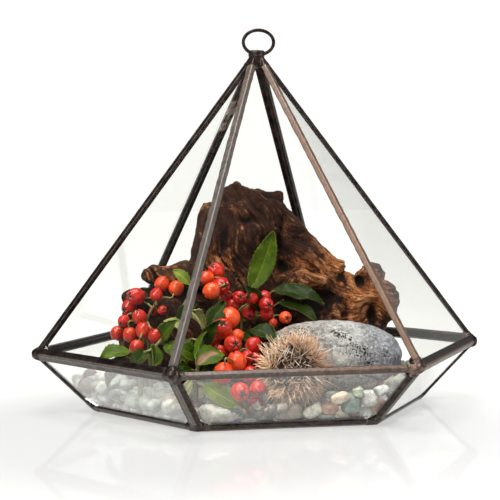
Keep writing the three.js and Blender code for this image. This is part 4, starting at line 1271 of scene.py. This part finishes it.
# ---- Berries ----
# Each berry: x, y, z, radius, tone from 0 (red) to 1 (orange), and the way that its star faces.
BUNCHES = {
    "left": {
        "stem": [(-58, -12, 5), (-60, -12, 34), (-61, -12, 47), (-56, -11, 57)],
        "berries": [
            (-66, -8, 60, 4.8, 0.15, (-1, -0.5, 0.2)), (-69, -2, 54, 4.2, 0.1, (-1, -0.7, -0.4)),
            (-52, -6, 66, 4.0, 0.6, (0.6, 0.2, 0.8)), (-45, -10, 64, 4.2, 0.85, (0.4, 0.6, 0.6)),
            (-56, -14, 61, 3.5, 0.1, (0.1, 0.6, 0.9)), (-65, -16, 50, 3.9, 0.25, (-0.3, -0.2, 1)),
            (-76, -8, 41, 3.7, 0.2, (-0.3, 0.2, -1)), (-70, -16, 41, 3.9, 0.3, (0.1, 0.1, -1)),
            (-64, -24, 44, 4.1, 0.25, (0, 0.2, 1)), (-58, -30, 41, 4.1, 0.1, (0.5, 0.3, -0.8)),
            (-68, -30, 36, 3.8, 0.2, (-0.4, 0, -1)), (-53, -14, 53, 2.6, 0.35, (0.4, -1, 0.2)),
            (-57, -8, 52, 2.6, 0.0, (-0.3, -1, 0)), (-61, -17, 42, 3.6, 0.05, (0.5, -0.5, -1)),
            (-73, -14, 48, 3.2, 0.1, (-0.6, -0.6, -0.6)),
        ],
    },
    "upper": {
        "stem": [(-14, -14, 5), (-13, -15, 34), (-13, -16, 49), (-24, -18, 65)],
        "berries": [
            (-25, -14, 73, 4.5, 0.25, (-0.7, -0.35, 0.9)), (-31, -20, 70, 3.9, 0.55, (-1, 0.1, 0)),
            (-24, -24, 66, 4.7, 0.15, (0.45, -1, 0.1)), (-30, -30, 64, 4.4, 0.7, (-1, 0.3, -0.5)),
            (-15, -26, 60, 3.6, 0.05, (0.15, -1, 0.15)), (-8, -22, 59, 3.7, 0.1, (-0.9, -0.8, 0.3)),
            (0, -16, 59, 3.4, 0.1, (0.5, 0.3, 1)), (-1, -26, 56, 3.9, 0.0, (0.3, -1, -0.1)),
            (0, -22, 51, 3.7, 0.05, (0.4, -0.6, -1)), (-9, -18, 51, 3.7, 0.0, (0.1, -1, -0.6)),
            (-18, -20, 55, 3.7, 0.05, (-0.4, 0.2, -1)), (9, -26, 49, 3.4, 0.8, (0.2, -1, -0.1)),
            (3, -24, 46, 2.4, 0.4, (0, -0.4, -1)), (-5, -16, 55, 3.3, 0.0, (0.3, -1, 0.5)),
            (-20, -17, 60, 3.4, 0.05, (0.2, -1, 0.6)),
        ],
    },
    "centre": {
        "stem": [(-20, -54, 4.5), (-20, -60, 22), (-20, -55, 34), (-23, -49, 42)],
        "berries": [
            (-22, -40, 51, 5.4, 0.75, (0.2, 0.7, 0.7)), (-28, -52, 47, 5.3, 0.3, (-0.05, -0.8, 0.65)),
            (-20, -50, 43, 3.3, 0.75, (0.5, 0.5, 0.3)), (-24, -60, 40, 4.5, 0.35, (0.25, -1, 0.05)),
            (-12, -50, 38, 4.3, 0.05, (0.8, 0.2, 0.6)), (-23, -66, 32, 5.0, 0.6, (-0.2, 0.4, 0.9)),
            (-31, -74, 28, 4.9, 0.45, (-0.1, 0.5, -0.9)), (-12, -56, 31, 3.8, 0.0, (0.6, -0.2, -0.8)),
            (-31, -44, 41, 4.1, 0.1, (-0.8, 0.3, -0.5)), (-24, -81, 20, 4.9, 0.25, (0.15, -1, -0.15)),
            (-14, -73, 20, 4.2, 0.2, (0.1, -0.9, -0.5)), (-33, -69, 22, 3.5, 0.4, (-0.5, 0.1, -0.9)),
            (-15, -72, 12, 3.9, 0.1, (0.2, -0.5, -1)), (-17, -60, 33, 3.9, 0.05, (0.5, -1, 0.3)),
            (-17, -68, 26, 4.1, 0.15, (0.8, -0.6, 0.4)), (-30, -58, 36, 3.7, 0.2, (-0.7, -0.4, 0.7)),
        ],
    },
}
BERRY_ROWS = 44
BERRY_COLUMNS = 60
STALK_RADIUS = 0.42
SEPAL_KNOTS = ((0.84, 0.34), (0.90, 0.20), (0.76, 0.04))  # along and out from the star, in radii
SEPAL_RADII = np.array([0.10, 0.07, 0.02])
STALK_LEAVES_STEM = 15  # of the 60 places along a bunch's stem, the first that stalks leave from


def star_frame(star, seed):
    """The way a star faces, two directions square to it, and the angle of its first groove."""
    axis = unit(np.array(star, float))
    side = unit(np.cross(axis, (0.2, 0.3, 1)))
    return axis, side, np.cross(axis, side), np.random.default_rng(seed).random() * TURN


def berry(centre, radius, tone, star, seed):
    """A round fruit, flattened at its star. From the star's pole the skin sinks by a bell curve, and
    five grooves run out from it where the cosine of 2.5 times the angle round peaks. The other end
    has a dimple."""
    axis, side, up, phase = star_frame(star, seed)
    polar = np.linspace(0, math.pi, BERRY_ROWS)[:, None] ** 1.25 / math.pi**0.25
    around = full_turn(BERRY_COLUMNS)[None, :]
    groove = np.abs(np.cos(2.5 * (around - phase))) ** 6
    sink = 0.26 * bell(polar, 0.24) + 0.12 * groove * bell(polar, 0.62, 3)
    flat = 0.07 * bell(polar, 0.75)
    rim = 0.075 * (1 - groove) * bell(polar - 0.46, 0.18)
    dimple = 0.10 * bell(math.pi - polar, 0.22)
    ring = np.cos(around)[..., None] * side + np.sin(around)[..., None] * up
    out = np.cos(polar)[..., None] * axis + np.sin(polar)[..., None] * ring
    stretch = 1 + 0.05 * np.cos(2 * polar) + 0.035 * noise(out * 1.6, seed)
    grow = radius * (stretch - sink + rim - dimple - flat)
    points = centre + out * grow[..., None]
    ragged = 0.25 * noise(out * 9, seed + 1) * (polar < 0.5)
    calyx = bell(polar, 0.27, 2.5) + 0.75 * groove * bell(polar, 0.66, 4) + ragged
    shade = tone - 0.22 * np.cos(polar + 0.4) + 0.20 * noise(out * 2.3, seed + 3)
    faces = grid_faces(BERRY_ROWS, BERRY_COLUMNS, wrap=True)
    return outward(shape(points, faces, tone=shade.ravel(), calyx=np.clip(calyx, 0, 1).ravel()))


def sepals(centre, radius, star, seed):
    """Five dry points folded in over the star between its grooves, as bent spikes."""
    axis, side, up, phase = star_frame(star, seed)
    spikes = []
    for k in range(5):
        angle = phase + TURN / 5 / 2 + k * TURN / 5
        out = math.cos(angle) * side + math.sin(angle) * up
        knots = [centre + radius * (a * axis + b * out) for a, b in SEPAL_KNOTS]
        spikes.append(tube(knots, radius * SEPAL_RADII, 6, 6, bark=0.85))
    return spikes


def nearest(point, knots):
    """The knot that is nearest to a point."""
    knots = np.asarray(knots, float)
    return knots[np.argmin(np.linalg.norm(knots - point, axis=1))]


def bunch(name, stem, berries):
    """Berries on bowed stalks from the nearest place on the bunch's stem."""
    line = smooth_path(stem, 60)
    fruit, stalks = [], [tube(stem, (1.05, 0.95, 0.75, 0.55), 10, 40, bark=0.55)]
    for k, (x, y, z, radius, tone, star) in enumerate(berries):
        seed = 100 * len(name) + k
        centre = np.array([x, y, z], float)
        fruit.append(berry(centre, radius, tone, star, seed))
        stalks += sepals(centre, radius, star, seed)
        foot = centre - unit(star) * radius * 0.82
        heel = foot - unit(star) * radius * 0.9
        root = nearest(heel, line[STALK_LEAVES_STEM:])
        middle = (root + heel) / 2 + (0, 0, 1.2)
        stalks.append(tube([root, middle, heel, foot], (STALK_RADIUS * 1.25, STALK_RADIUS), 8, 16, bark=0.15))
    return [(merged(fruit), BERRY), (merged(stalks), STALK)]


# ---- Leaves ----
MID = (0.050, 0.088, 0.003)
DARK = (0.014, 0.028, 0.001)
PALE = (0.21, 0.23, 0.075)
LIME = (0.14, 0.19, 0.022)
# Each leaf: base, tip, the way that it faces, width, colour, and what is unusual about it.
TWIGS = {
    "left": {
        "stem": [
            (-66, -36, 5), (-67, -38, 24), (-68, -36, 32), (-60, -36, 36), (-50, -28, 46), (-40, -20, 60),
        ],
        "leaves": [
            ((-71, -35, 34), (-87, -38, 30.5), (-0.2, -0.5, 1), 12, MID),
            ((-74, -34, 32), (-82, -31, 18), (-1, -0.6, 0.2), 9, DARK),
            ((-52, -24, 49), (-46, -33, 43), (0, -0.4, 1), 9, PALE),
            ((-60, -37, 38), (-62, -47, 28), (0.6, -0.6, 0.3), 9, MID),
            ((-54, -36, 38), (-45, -48, 29), (-0.3, -0.4, 1), 10, MID),
            ((-39, -17, 66), (-47, -13, 73), (0.3, -1, 0.5), 7, LIME),
            ((-57, -30, 38), (-48, -38, 50), (-0.5, -0.8, 0.3), 9, MID),
            ((-62, -34, 34), (-72, -46, 26), (0.1, -0.5, 1), 9, DARK),
            ((-46, -26, 48), (-38, -36, 58), (-0.6, -0.8, 0.2), 8, DARK),
        ],
    },
    "centre": {
        "stem": [(-42, -58, 5), (-42, -58, 24), (-38, -56, 38), (-36, -53, 46)],
        "leaves": [
            ((-36, -51, 47), (-47, -58, 55), (0.3, -0.8, 0.6), 9, PALE, {"curl": 0.5}),
            ((-30.5, -64, 37), (-44, -73, 31), (0.1, -0.6, 1), 14, MID, {"brown": 0.9}),
            ((-37, -58, 46), (-41, -68, 32), (-1, -0.3, 0.3), 9, MID),
            ((-43, -50, 42), (-52, -54, 28), (-0.6, -0.9, 0.4), 9, DARK),
            ((-41, -72, 23), (-21, -77, 11), (0.1, -1, 0.35), 10, LIME, {"arch": 0.05}),
            ((-46, -70, 25), (-54, -71, 14), (0, -1, 0.3), 5, PALE),
            ((-38, -52, 38), (-30, -62, 52), (-0.7, -0.8, 0.1), 8, DARK),
            ((-42, -60, 34), (-54, -64, 40), (0.2, -0.9, 0.5), 9, MID),
            ((-44, -60, 28), (-58, -62, 24), (0.1, -0.8, 0.7), 9, DARK),
            ((-40, -62, 27), (-32, -70, 30), (0.1, -0.7, 0.8), 8, DARK),
            ((-34, -46, 44), (-24, -34, 58), (-0.4, -1, 0.2), 9, DARK),
        ],
    },
    "right": {
        "stem": [(5, -12, 5), (5, -12, 30), (4, -11, 48), (0, -10, 58)],
        "leaves": [
            ((-6, -12, 63), (6, -12, 93), (-0.25, -1, 0.2), 13, MID, {"arch": -0.06}),
            ((5, -14, 62), (30, -24, 54), (0.1, -0.7, 1), 13, DARK),
            ((8, -16, 56), (24, -31, 46), (0.2, -0.7, 0.8), 10, DARK),
            ((-10, -32, 44), (1, -41, 38), (-0.3, -0.6, 1), 12, DARK),
            ((-13, -29, 42), (-8, -43, 34), (-0.3, -0.5, 1), 10, DARK),
            ((-2, -18, 52), (-12, -24, 66), (0.2, -1, 0.2), 8, DARK),
        ],
    },
}
LEAF_ROWS = 151
LEAF_COLUMNS = 19
LEAF_HALF = 0.17  # of its thickness
TOOTH_PITCH = 2.3
TOOTH_DEPTH = 0.85
SIDE_VEINS = 8


def blade_reach(u, v, width, span):
    """From the midrib to each point: v times a half width, which is a sine of u to a power, cut
    into teeth at the edges."""
    half = 0.25 + (width / 2) * np.sin(math.pi * u**0.85) ** 0.8
    tooth = (u * span / TOOTH_PITCH) % 1
    bite = TOOTH_DEPTH * tooth * smoothstep(u, 0.08, 0.3) * smoothstep(half, 0.6, 2.0)
    return v * half - np.sign(v) * bite * np.abs(v) ** 9


def blade_veins(u, v, reach):
    """How strong a vein is at each point: the midrib, and side veins that run forward from it."""
    forward = (u * (SIDE_VEINS + 1) - 1.5 * np.abs(v)) % 1
    side_vein = bell(forward - 0.5, 0.10) * smoothstep(np.abs(v), 0.98, 0.7)
    return np.clip(bell(reach, 0.33) + 0.5 * side_vein, 0, 1) * smoothstep(u, 1.0, 0.9)


def sheet(middle, face):
    """A grid of points made a closed blade: two layers, each half its thickness along the grid's own
    normals, the first on the side that it faces, and a rim of quads between them."""
    across, down = np.gradient(middle, axis=1), np.gradient(middle, axis=0)
    n = unit(np.cross(across, down))
    n = n * np.sign(np.einsum("ijk,k->ij", n, face).mean())
    rows, columns = middle.shape[:2]
    size = rows * columns
    faces = grid_faces(rows, columns)
    index = np.arange(size).reshape(rows, columns)
    rim = np.concatenate([index[0, :-1], index[:-1, -1], index[-1, :0:-1], index[:0:-1, 0]])
    follow = np.roll(rim, -1)
    edge = np.stack([follow, rim, rim + size, follow + size], -1)
    layers = [(middle + n * LEAF_HALF).reshape(-1, 3), (middle - n * LEAF_HALF).reshape(-1, 3)]
    return outward(shape(np.concatenate(layers), faces, faces[:, ::-1] + size, edge))


def leaf(base, tip, face, width, colour, arch=0.12, fold=0.25, curl=0.12, brown=0.0, seed=0):
    """A blade over u, base to tip, and v, edge to edge. v folds it along the midrib, u arches it,
    noise ripples its edges, and its veins are pressed into its face."""
    along = unit(tip - base)
    span = np.linalg.norm(tip - base)
    side = unit(np.cross(along, face))
    normal = np.cross(side, along)
    u = np.linspace(0, 1, LEAF_ROWS)[:, None]
    v = np.linspace(-1, 1, LEAF_COLUMNS)[None, :]
    reach = blade_reach(u, v, width, span)
    vein = blade_veins(u, v, reach)
    random = np.random.default_rng(seed)
    ripple = noise(np.stack(np.broadcast_arrays(u * span / 5, v * 1.5, seed + 0 * u * v), -1), seed)
    rise = arch * span * 4 * u * (1 - u) + fold * np.abs(reach) + 0.13 * width * np.abs(v) * ripple
    rise = rise + curl * width * (v**2) * smoothstep(u, 0.3, 1.0) - 0.14 * vein
    sway = (0.06 * span * (random.random() - 0.5)) * np.sin(math.pi * u)
    places = base + along * span * u[..., None] + side * (reach + sway)[..., None]
    made = sheet(places + normal * rise[..., None], normal)
    blade = np.stack(np.broadcast_arrays(u, v, vein), -1).reshape(-1, 3)
    tint = np.array([*colour, 1.0]) * (*np.full(3, 0.85 + 0.3 * random.random()), 1)
    under = tint * (1.5, 1.35, 1.6, 1) + (0.03, 0.035, 0.02, 0)
    browned = brown * smoothstep(ripple + 1.6 * (u - 0.25) - np.abs(v), 0.1, 0.7)
    made["marks"] = {
        "blade": np.tile(blade, (2, 1)),
        "colour": np.repeat([tint, under], browned.size, axis=0),
        "brown": np.tile(browned.ravel(), 2),
    }
    return made


def twig(name, stem, leaves):
    """Leaves on short stalks from the nearest place on the twig's stem."""
    line = smooth_path(stem, 60)
    blades, stalks = [], [tube(stem, (1.25, 1.1, 0.9, 0.7), 10, 50, bark=0.5)]
    for k, (base, tip, face, width, colour, *unusual) in enumerate(leaves):
        base, tip = np.array(base, float), np.array(tip, float)
        ways = unusual[0] if unusual else {}
        blades.append(leaf(base, tip, face, width, colour, seed=10 * len(name) + k, **ways))
        root = nearest(base, line)
        heel = base + (tip - base) * 0.10
        middle = (root + base) / 2 - (0, 0, 0.6)
        stalks.append(tube([root, middle, base, heel], (0.55, 0.5, 0.4, 0.2), 8, 14, bark=0.05))
    return [(merged(blades), LEAF), (merged(stalks), STALK)]


# ---- Gravel ----
PALETTE = np.array([
    (0.46, 0.44, 0.38), (0.56, 0.55, 0.50), (0.30, 0.25, 0.18), (0.22, 0.12, 0.08), (0.20, 0.22, 0.20),
    (0.16, 0.22, 0.19), (0.26, 0.30, 0.23), (0.26, 0.25, 0.28), (0.12, 0.06, 0.06), (0.07, 0.07, 0.075),
    (0.45, 0.34, 0.25), (0.20, 0.17, 0.14), (0.38, 0.37, 0.34), (0.30, 0.17, 0.09),
])
# Pebbles behind the front pane: x, y, z, half sizes, turn about y and colour.
FRONT_PEBBLES = [
    ((-34.7, -75.5, 9.2), (9.3, 5.0, 5.2), 0.0, (0.66, 0.64, 0.57)),
    ((-26.5, -74.5, 5.8), (3.4, 2.8, 2.9), 0.4, (0.20, 0.13, 0.36)),
    ((-18.9, -73.0, 5.8), (4.9, 3.6, 3.0), 0.1, (0.56, 0.54, 0.52)),
    ((-10.2, -72.0, 5.0), (4.4, 3.0, 2.4), -0.4, (0.46, 0.50, 0.36)),
    ((-0.3, -74.0, 9.0), (7.6, 5.0, 4.9), 0.15, (0.33, 0.25, 0.20)),
    ((12.4, -75.0, 8.9), (5.0, 3.4, 3.0), 0.5, (0.74, 0.70, 0.58)),
    ((25.1, -80.0, 15.3), (5.2, 3.0, 2.6), 0.35, (0.78, 0.60, 0.44)),
    ((31.0, -77.0, 12.0), (5.0, 4.2, 4.8), 0.0, (0.18, 0.27, 0.22)),
    ((33.1, -82.6, 18.2), (3.0, 2.6, 2.5), 0.0, (0.50, 0.56, 0.40)),
    ((39.8, -79.8, 14.9), (4.6, 3.4, 3.9), 0.2, (0.76, 0.74, 0.68)),
    ((45.4, -82.8, 18.7), (3.9, 2.8, 2.4), 0.2, (0.74, 0.73, 0.70)),
    ((39.0, -75.0, 7.6), (3.8, 3.2, 3.4), 0.2, (0.55, 0.57, 0.54)),
    ((20.8, -74.6, 8.6), (5.4, 4.0, 3.2), -0.2, (0.38, 0.19, 0.12)),
    ((26.4, -73.8, 6.6), (3.8, 3.0, 3.8), 0.2, (0.60, 0.53, 0.38)),
    ((19.2, -72.6, 6.0), (5.2, 3.4, 3.2), 0.5, (0.40, 0.46, 0.46)),
    ((44.6, -75.4, 8.4), (4.6, 3.4, 4.3), 0.3, (0.50, 0.25, 0.10)),
    ((35.0, -72.8, 5.8), (5.4, 3.6, 2.8), 0.0, (0.22, 0.08, 0.09)),
    ((52.5, -82.0, 20.0), (7.0, 4.4, 5.0), 0.5, (0.34, 0.35, 0.30)),
    ((-45.0, -71.5, 8.5), (4.0, 3.4, 3.4), 0.3, (0.30, 0.20, 0.14)),
    ((6.0, -72.0, 5.4), (4.0, 3.2, 2.4), 0.0, (0.12, 0.10, 0.12)),
    ((-4.0, -80.0, 11.8), (3.6, 2.6, 2.0), 0.3, (0.40, 0.34, 0.27)),
]
FRONT_SCALE = 0.94
FRONT_SHADE = 0.86
FRONT_ROOM = 5.5  # no other pebble's middle is nearer to a front pebble's
# The part of the tray that only the front pebbles and the chips fill: x from, x to, y up to.
FRONT_PART = (-44, 56, -66)
FRONT_CHIPS = 420
CHIP_SIZE = 2.5
PALE_PALETTE = np.array([(0.62, 0.64, 0.58), (0.50, 0.54, 0.48), (0.70, 0.70, 0.66), (0.42, 0.46, 0.42)])
PEBBLE_GAP = 8.2
PEBBLE_LAYER = 5.2
PEBBLE_SIZE = 4.3
GRAVEL_SEED = 12
WALL_CLEAR = 3.4
TRAY_SLOPE = (GIRDLE_RADIUS - BASE_RADIUS) / (GIRDLE_HEIGHT - LIP)  # corners out for each up


def gravel_top(x, y):
    """How high the gravel stands: low in front, heaped to the right corner and left."""
    right = 13 * smoothstep(x, 20, 88) * smoothstep(y, -80, -50) * smoothstep(-y, -10, 30)
    return 10 + right + 6 * smoothstep(-x, 45, 90) + 2 * smoothstep(y, -20, 40)


def tray_reach(angle, z):
    """From the axis to the inside of the tray at an angle and height."""
    sector = TURN / SIDES
    from_middle = angle % sector - sector / 2
    side = (BASE_RADIUS + TRAY_SLOPE * np.minimum(z, GIRDLE_HEIGHT)) * math.cos(sector / 2)
    return (side - WALL_CLEAR / math.cos(0.7)) / np.cos(from_middle)


def pebble_places(random):
    """Places in leaning rows: layer on layer of a triangular grid, shaken, from the tray floor up to
    the top of the heap, and only as far out as the tray's side allows at that height."""
    found = []
    for layer, z in enumerate(np.arange(TRAY_FLOOR + 2.6, 30, PEBBLE_LAYER)):
        rows = np.arange(-110, 110, PEBBLE_GAP * 0.866)
        for k, y in enumerate(rows):
            x = np.arange(-120, 120, PEBBLE_GAP) + (k % 2) * PEBBLE_GAP / 2 + layer * 2.3
            found.append(np.stack([x, np.full_like(x, y + layer * 2.9), np.full_like(x, z)], -1))
    p = np.concatenate(found)
    p = p + random.uniform(-1, 1, p.shape) * (1.6, 1.6, 0.9)
    away = np.hypot(p[:, 0], p[:, 1])
    limit = tray_reach(np.arctan2(p[:, 1], p[:, 0]), p[:, 2]) - PEBBLE_SIZE * 0.55
    top = gravel_top(p[:, 0], p[:, 1])
    seen = (top - p[:, 2] < 7) | (p[:, 2] < TRAY_FLOOR + 6) | (limit - away < 9)
    keep = (away < limit) & (p[:, 2] < top + 1.5) & seen
    return p[keep]


def pebbles(template, places, radii, turns, seeds, rough, colours):
    """Copies of the ball, each made blocky by the reciprocal of a power mean, swollen by noise,
    stretched, turned and set in place, with a colour of its own."""
    d = template["points"]
    field = noise(d[None] * 1.25 + seeds[:, None] * (13.1, 7.7, 3.3), 41)
    square = 2.2 + 1.6 * (seeds % 1)
    blocky = (np.abs(d[None]) ** square[..., None]).sum(-1) ** (-1 / square)
    local = d[None] * (blocky * (1 + rough * field))[..., None] * radii[:, None]
    out = np.stack([turned(local[k], turns[k]) for k in range(len(local))]) + places[:, None]
    return copies(template, out, colour=np.concatenate([colours, np.ones((len(colours), 1))], 1))


def inside_tray(points):
    """Points that would pass through the tray's glass are laid against its inner face."""
    for k in range(SIDES):
        past = (points - GIRDLE[k]) @ LOWER[k] + GLASS + 0.25
        points = points - np.maximum(past, 0)[..., None] * LOWER[k]
    points[..., 2] = np.maximum(points[..., 2], TRAY_FLOOR + 0.2)
    return points


def chip_places(random, fronts, radii):
    """Places of small pebbles in the gaps behind the front pane, from the floor to the top of the
    heap there. Those that would stand before a larger pebble are left out."""
    left, right, _ = FRONT_PART
    across = random.uniform(left - 2, right + 2, FRONT_CHIPS)
    up = TRAY_FLOOR + 1.5 + random.random(FRONT_CHIPS) * (gravel_top(across, -88) - 4)
    y = -(BASE_RADIUS + TRAY_SLOPE * up) * math.cos(TURN / SIDES / 2) + random.uniform(5.4, 8.5, FRONT_CHIPS)
    found = np.stack([across, y, up], -1)
    apart = np.abs(found[:, None, [0, 2]] - fronts[None, :, [0, 2]]) / (radii[None, :, [0, 2]] * 0.9 + 1.2)
    return found[np.linalg.norm(apart, axis=2).min(1) > 1]


def painted_shade_in_gaps(made):
    """The pebbles with painted shade: dark where they turn away from the eye into the heap."""
    n = normals_of(made)
    away = unit(made["points"] * (1, 1, 0))
    facing = np.maximum(np.einsum("ij,ij->i", n, away), n[:, 2])
    # painted shade where the pebbles turn into the heap
    made["marks"]["colour"][:, :3] *= (0.30 + 0.70 * smoothstep(facing, 0.05, 0.75))[:, None]
    return made


def filling(random, fronts):
    """Pebbles that fill the tray, except for its front part. On the left they are mostly pale
    quartz, whose pale also paints the reflection veil on the left pane, and under the wood they
    are darker with a painted shadow of the wood."""
    places = pebble_places(random)
    near = np.linalg.norm(places[:, None] - fronts[None], axis=2).min(1) < FRONT_ROOM
    left, right, back = FRONT_PART
    in_front = (places[:, 0] > left) & (places[:, 0] < right) & (places[:, 1] < back)
    places = places[~near & ~in_front]
    count = len(places)
    radii = PEBBLE_SIZE * np.array([1.15, 0.95, 0.74]) * (0.72 + 0.5 * random.random((count, 3)))
    turns = random.uniform(-0.6, 0.6, (count, 3)) + np.array([0, 0, 1]) * random.uniform(0, TURN, (count, 1))
    seeds = random.random((count, 1)) * 9
    colour = PALETTE[random.integers(0, len(PALETTE), count)]
    pale = PALE_PALETTE[random.integers(0, len(PALE_PALETTE), count)]
    x, y = places[:, 0], places[:, 1]
    # pale quartz on the left, also a painted reflection veil on the left pane
    quartz_and_veil = random.random(count) < 0.85 * smoothstep(-x, 42, 60) * smoothstep(-y, -40, 0)
    colour = np.where(quartz_and_veil[:, None], pale, colour)
    # darker under the wood: a painted shadow of the wood
    dim = 1 - 0.72 * bell(x + 4, 58) * bell(y + 22, 40)
    colour = colour * (0.75 + 0.5 * random.random((count, 1))) * dim[:, None]
    return pebbles(ball(4), places, radii, turns, seeds, 0.34, colour)


def chips(random, fronts, front_radii):
    """Small pebbles, turned every way, in the gaps behind the front pane, dimmed as painted shade in
    the gaps.
    """
    places = chip_places(random, fronts, front_radii)
    count = len(places)
    radii = CHIP_SIZE * np.array([1.25, 0.95, 0.75]) * (0.65 + 0.7 * random.random((count, 3)))
    turns = random.uniform(-1.2, 1.2, (count, 3))
    seeds = random.random((count, 1)) * 9
    # dimmed as painted shade in the gaps behind the front pane
    colour = PALETTE[random.integers(0, len(PALETTE), count)] * (0.15 + 0.65 * random.random((count, 1)))
    return pebbles(ball(4), places, radii, turns, seeds, 0.36, colour)


def gravel():
    """Small pebbles fill the tray, finer ones stand for those seen through the front, with chips in
    their gaps, and a bed below, dark with painted shade, keeps light from showing between them."""
    random = np.random.default_rng(GRAVEL_SEED)
    fronts, radii, turns, colours = (np.array(v) for v in zip(*FRONT_PEBBLES))
    radii = radii * FRONT_SCALE
    small = [filling(random, fronts), chips(random, fronts, radii)]
    turns = turns[:, None] * (0, -1, 0)
    seeds = np.arange(len(fronts))[:, None] * 1.37
    front = pebbles(ball(10), fronts, radii, turns, seeds, 0.30, FRONT_SHADE * colours)
    # painted shade in the gaps between pebbles
    made = painted_shade_in_gaps(merged([*small, front]))
    made["points"] = inside_tray(made["points"])
    return [(merged([made, gravel_bed()]), PEBBLES)]


def gravel_bed():
    """A heap under the pebbles, dark with painted shade deep in the gravel: rings out to the tray's
    side, level below and heaped above.
    """
    rings, around = 16, 72
    share = np.linspace(0, 1, rings)[:, None]
    angle = full_turn(around)[None, :]
    rim = tray_reach(angle, TRAY_FLOOR) - 6.5
    x, y = share * rim * np.cos(angle), share * rim * np.sin(angle)
    top = np.maximum(gravel_top(x, y) - 4.5, TRAY_FLOOR + 3)
    upper = np.stack([x, y, top], -1)
    lower = np.stack([x, y, np.full_like(x, TRAY_FLOOR + 1.6)], -1)[::-1]
    points = np.concatenate([upper, lower]).reshape(-1, 3)
    # dark colour: painted shade deep in the gravel
    colour = np.tile((0.075, 0.065, 0.058, 1.0), (len(points), 1))
    return outward(shape(points, grid_faces(2 * rings, around, wrap=True), colour=colour))


# ---- Scene ----
def floor():
    """A round table top, far wider than the view."""
    radius, sides = 4000.0, 96
    angle = full_turn(sides)
    rim = np.stack([np.cos(angle), np.sin(angle), 0 * angle], -1) * radius - (0, 0, 0.05)
    placed("table", mesh_of("table", [(shape(rim, np.arange(sides)[None]), floor_material())]))


def area_light(name, place, size, power, colour):
    """A square soft box at place, in millimetres, that faces LIGHT_TARGET."""
    data = bpy.data.lights.new(name, "AREA")
    data.shape = "SQUARE"
    data.size = size * MM
    data.energy = power
    data.color = colour
    back = unit(np.array(place, float) - LIGHT_TARGET)
    right = unit(np.cross((0, 0, 1), back))
    placed(name, data, np.stack([right, np.cross(back, right), back], 1), place)


def camera():
    """The camera that took the photograph, as fitted."""
    data = bpy.data.cameras.new("camera")
    data.lens = CAMERA_LENS
    data.sensor_width = SENSOR
    data.clip_end = 50
    forward = unit(CAMERA_FORWARD)
    right = unit(np.cross(forward, (0, 0, 1)))
    up = np.cross(right, forward)
    roll = math.radians(CAMERA_ROLL)
    c, s = math.cos(roll), math.sin(roll)
    axes = np.stack([c * right + s * up, c * up - s * right, -forward], 1)
    bpy.context.scene.camera = placed("camera", data, axes, CAMERA_PLACE)


WORLD_SEEN = 1.04  # the white that the eye sees
WORLD_LIGHT = 0.40  # as what it lights sees it
WORLD_FADE = (0.17, 0.29)  # heights of direction between which its reflection dims
WORLD_MIRRORED = (0.36, 0.12)  # its reflection below and above them
LIGHT_TARGET = (0, 0, 60)  # where the soft boxes face
# Soft boxes: place, size, power and colour.
SOFT_BOXES = {
    "overhead": ((-60, -100, 1150), 700, 17, (1.0, 0.99, 0.97)),
    "key": ((-720, -760, 900), 600, 15, (1.0, 0.985, 0.96)),
    "fill": ((900, -600, 400), 600, 3, (0.95, 0.97, 1.0)),
}


def light():
    """White all round to the eye. As light it is dimmer, and in reflections it falls from light grey
    near the table to dark grey above, so that panes stay clear. Three soft boxes face the middle."""
    world = bpy.data.worlds.new("studio")
    bpy.context.scene.world = world
    world.use_nodes = True
    tree = world.node_tree
    tree.nodes.clear()
    path = add(tree, "ShaderNodeLightPath").outputs
    up = parts_of(tree, add(tree, "ShaderNodeTexCoord").outputs["Generated"])[2]
    bounced = maths(tree, "MINIMUM", path["Glossy Depth"], 1.0)
    scattered = maths(tree, "MINIMUM", path["Diffuse Depth"], 1.0)
    straight = maths(tree, "MAXIMUM", path["Is Camera Ray"], path["Is Transmission Ray"])
    clear = less(tree, straight, plus(tree, bounced, scattered))
    seen = maths(tree, "MAXIMUM", clear, 0.0)
    mirrored = ranged(tree, up, *WORLD_FADE, *WORLD_MIRRORED)
    dim = mixed_value(tree, bounced, WORLD_LIGHT, mirrored)
    glow = add(tree, "ShaderNodeBackground", {
        "Color": (1.0, 1.0, 0.995, 1), "Strength": mixed_value(tree, seen, dim, WORLD_SEEN),
    })
    add(tree, "ShaderNodeOutputWorld", {"Surface": glow.outputs[0]})
    for name, values in SOFT_BOXES.items():
        area_light(name, *values)
    bpy.context.scene.view_settings.view_transform = "Standard"


camera()
light()
floor()
build_frame()
dress_glass()
piece("driftwood_weathered", [(driftwood(), WOOD)], "driftwood", "driftwood")
piece("grey_stone_worn", [(grey_stone(), STONE)], "grey_stone", "grey_stone")
piece("chestnut_burr_spines", [(chestnut_burr(), SPINES)], "burr", "chestnut_burr")
for name, bunch_values in BUNCHES.items():
    piece(f"berries_{name}", bunch(name, **bunch_values), "berry", f"berry_bunch_{name}")
for name, twig_values in TWIGS.items():
    piece(f"leaves_{name}", twig(name, **twig_values), "leaf", f"leafy_twig_{name}")
piece("gravel_pebbles", gravel(), "gravel", "gravel_bed")
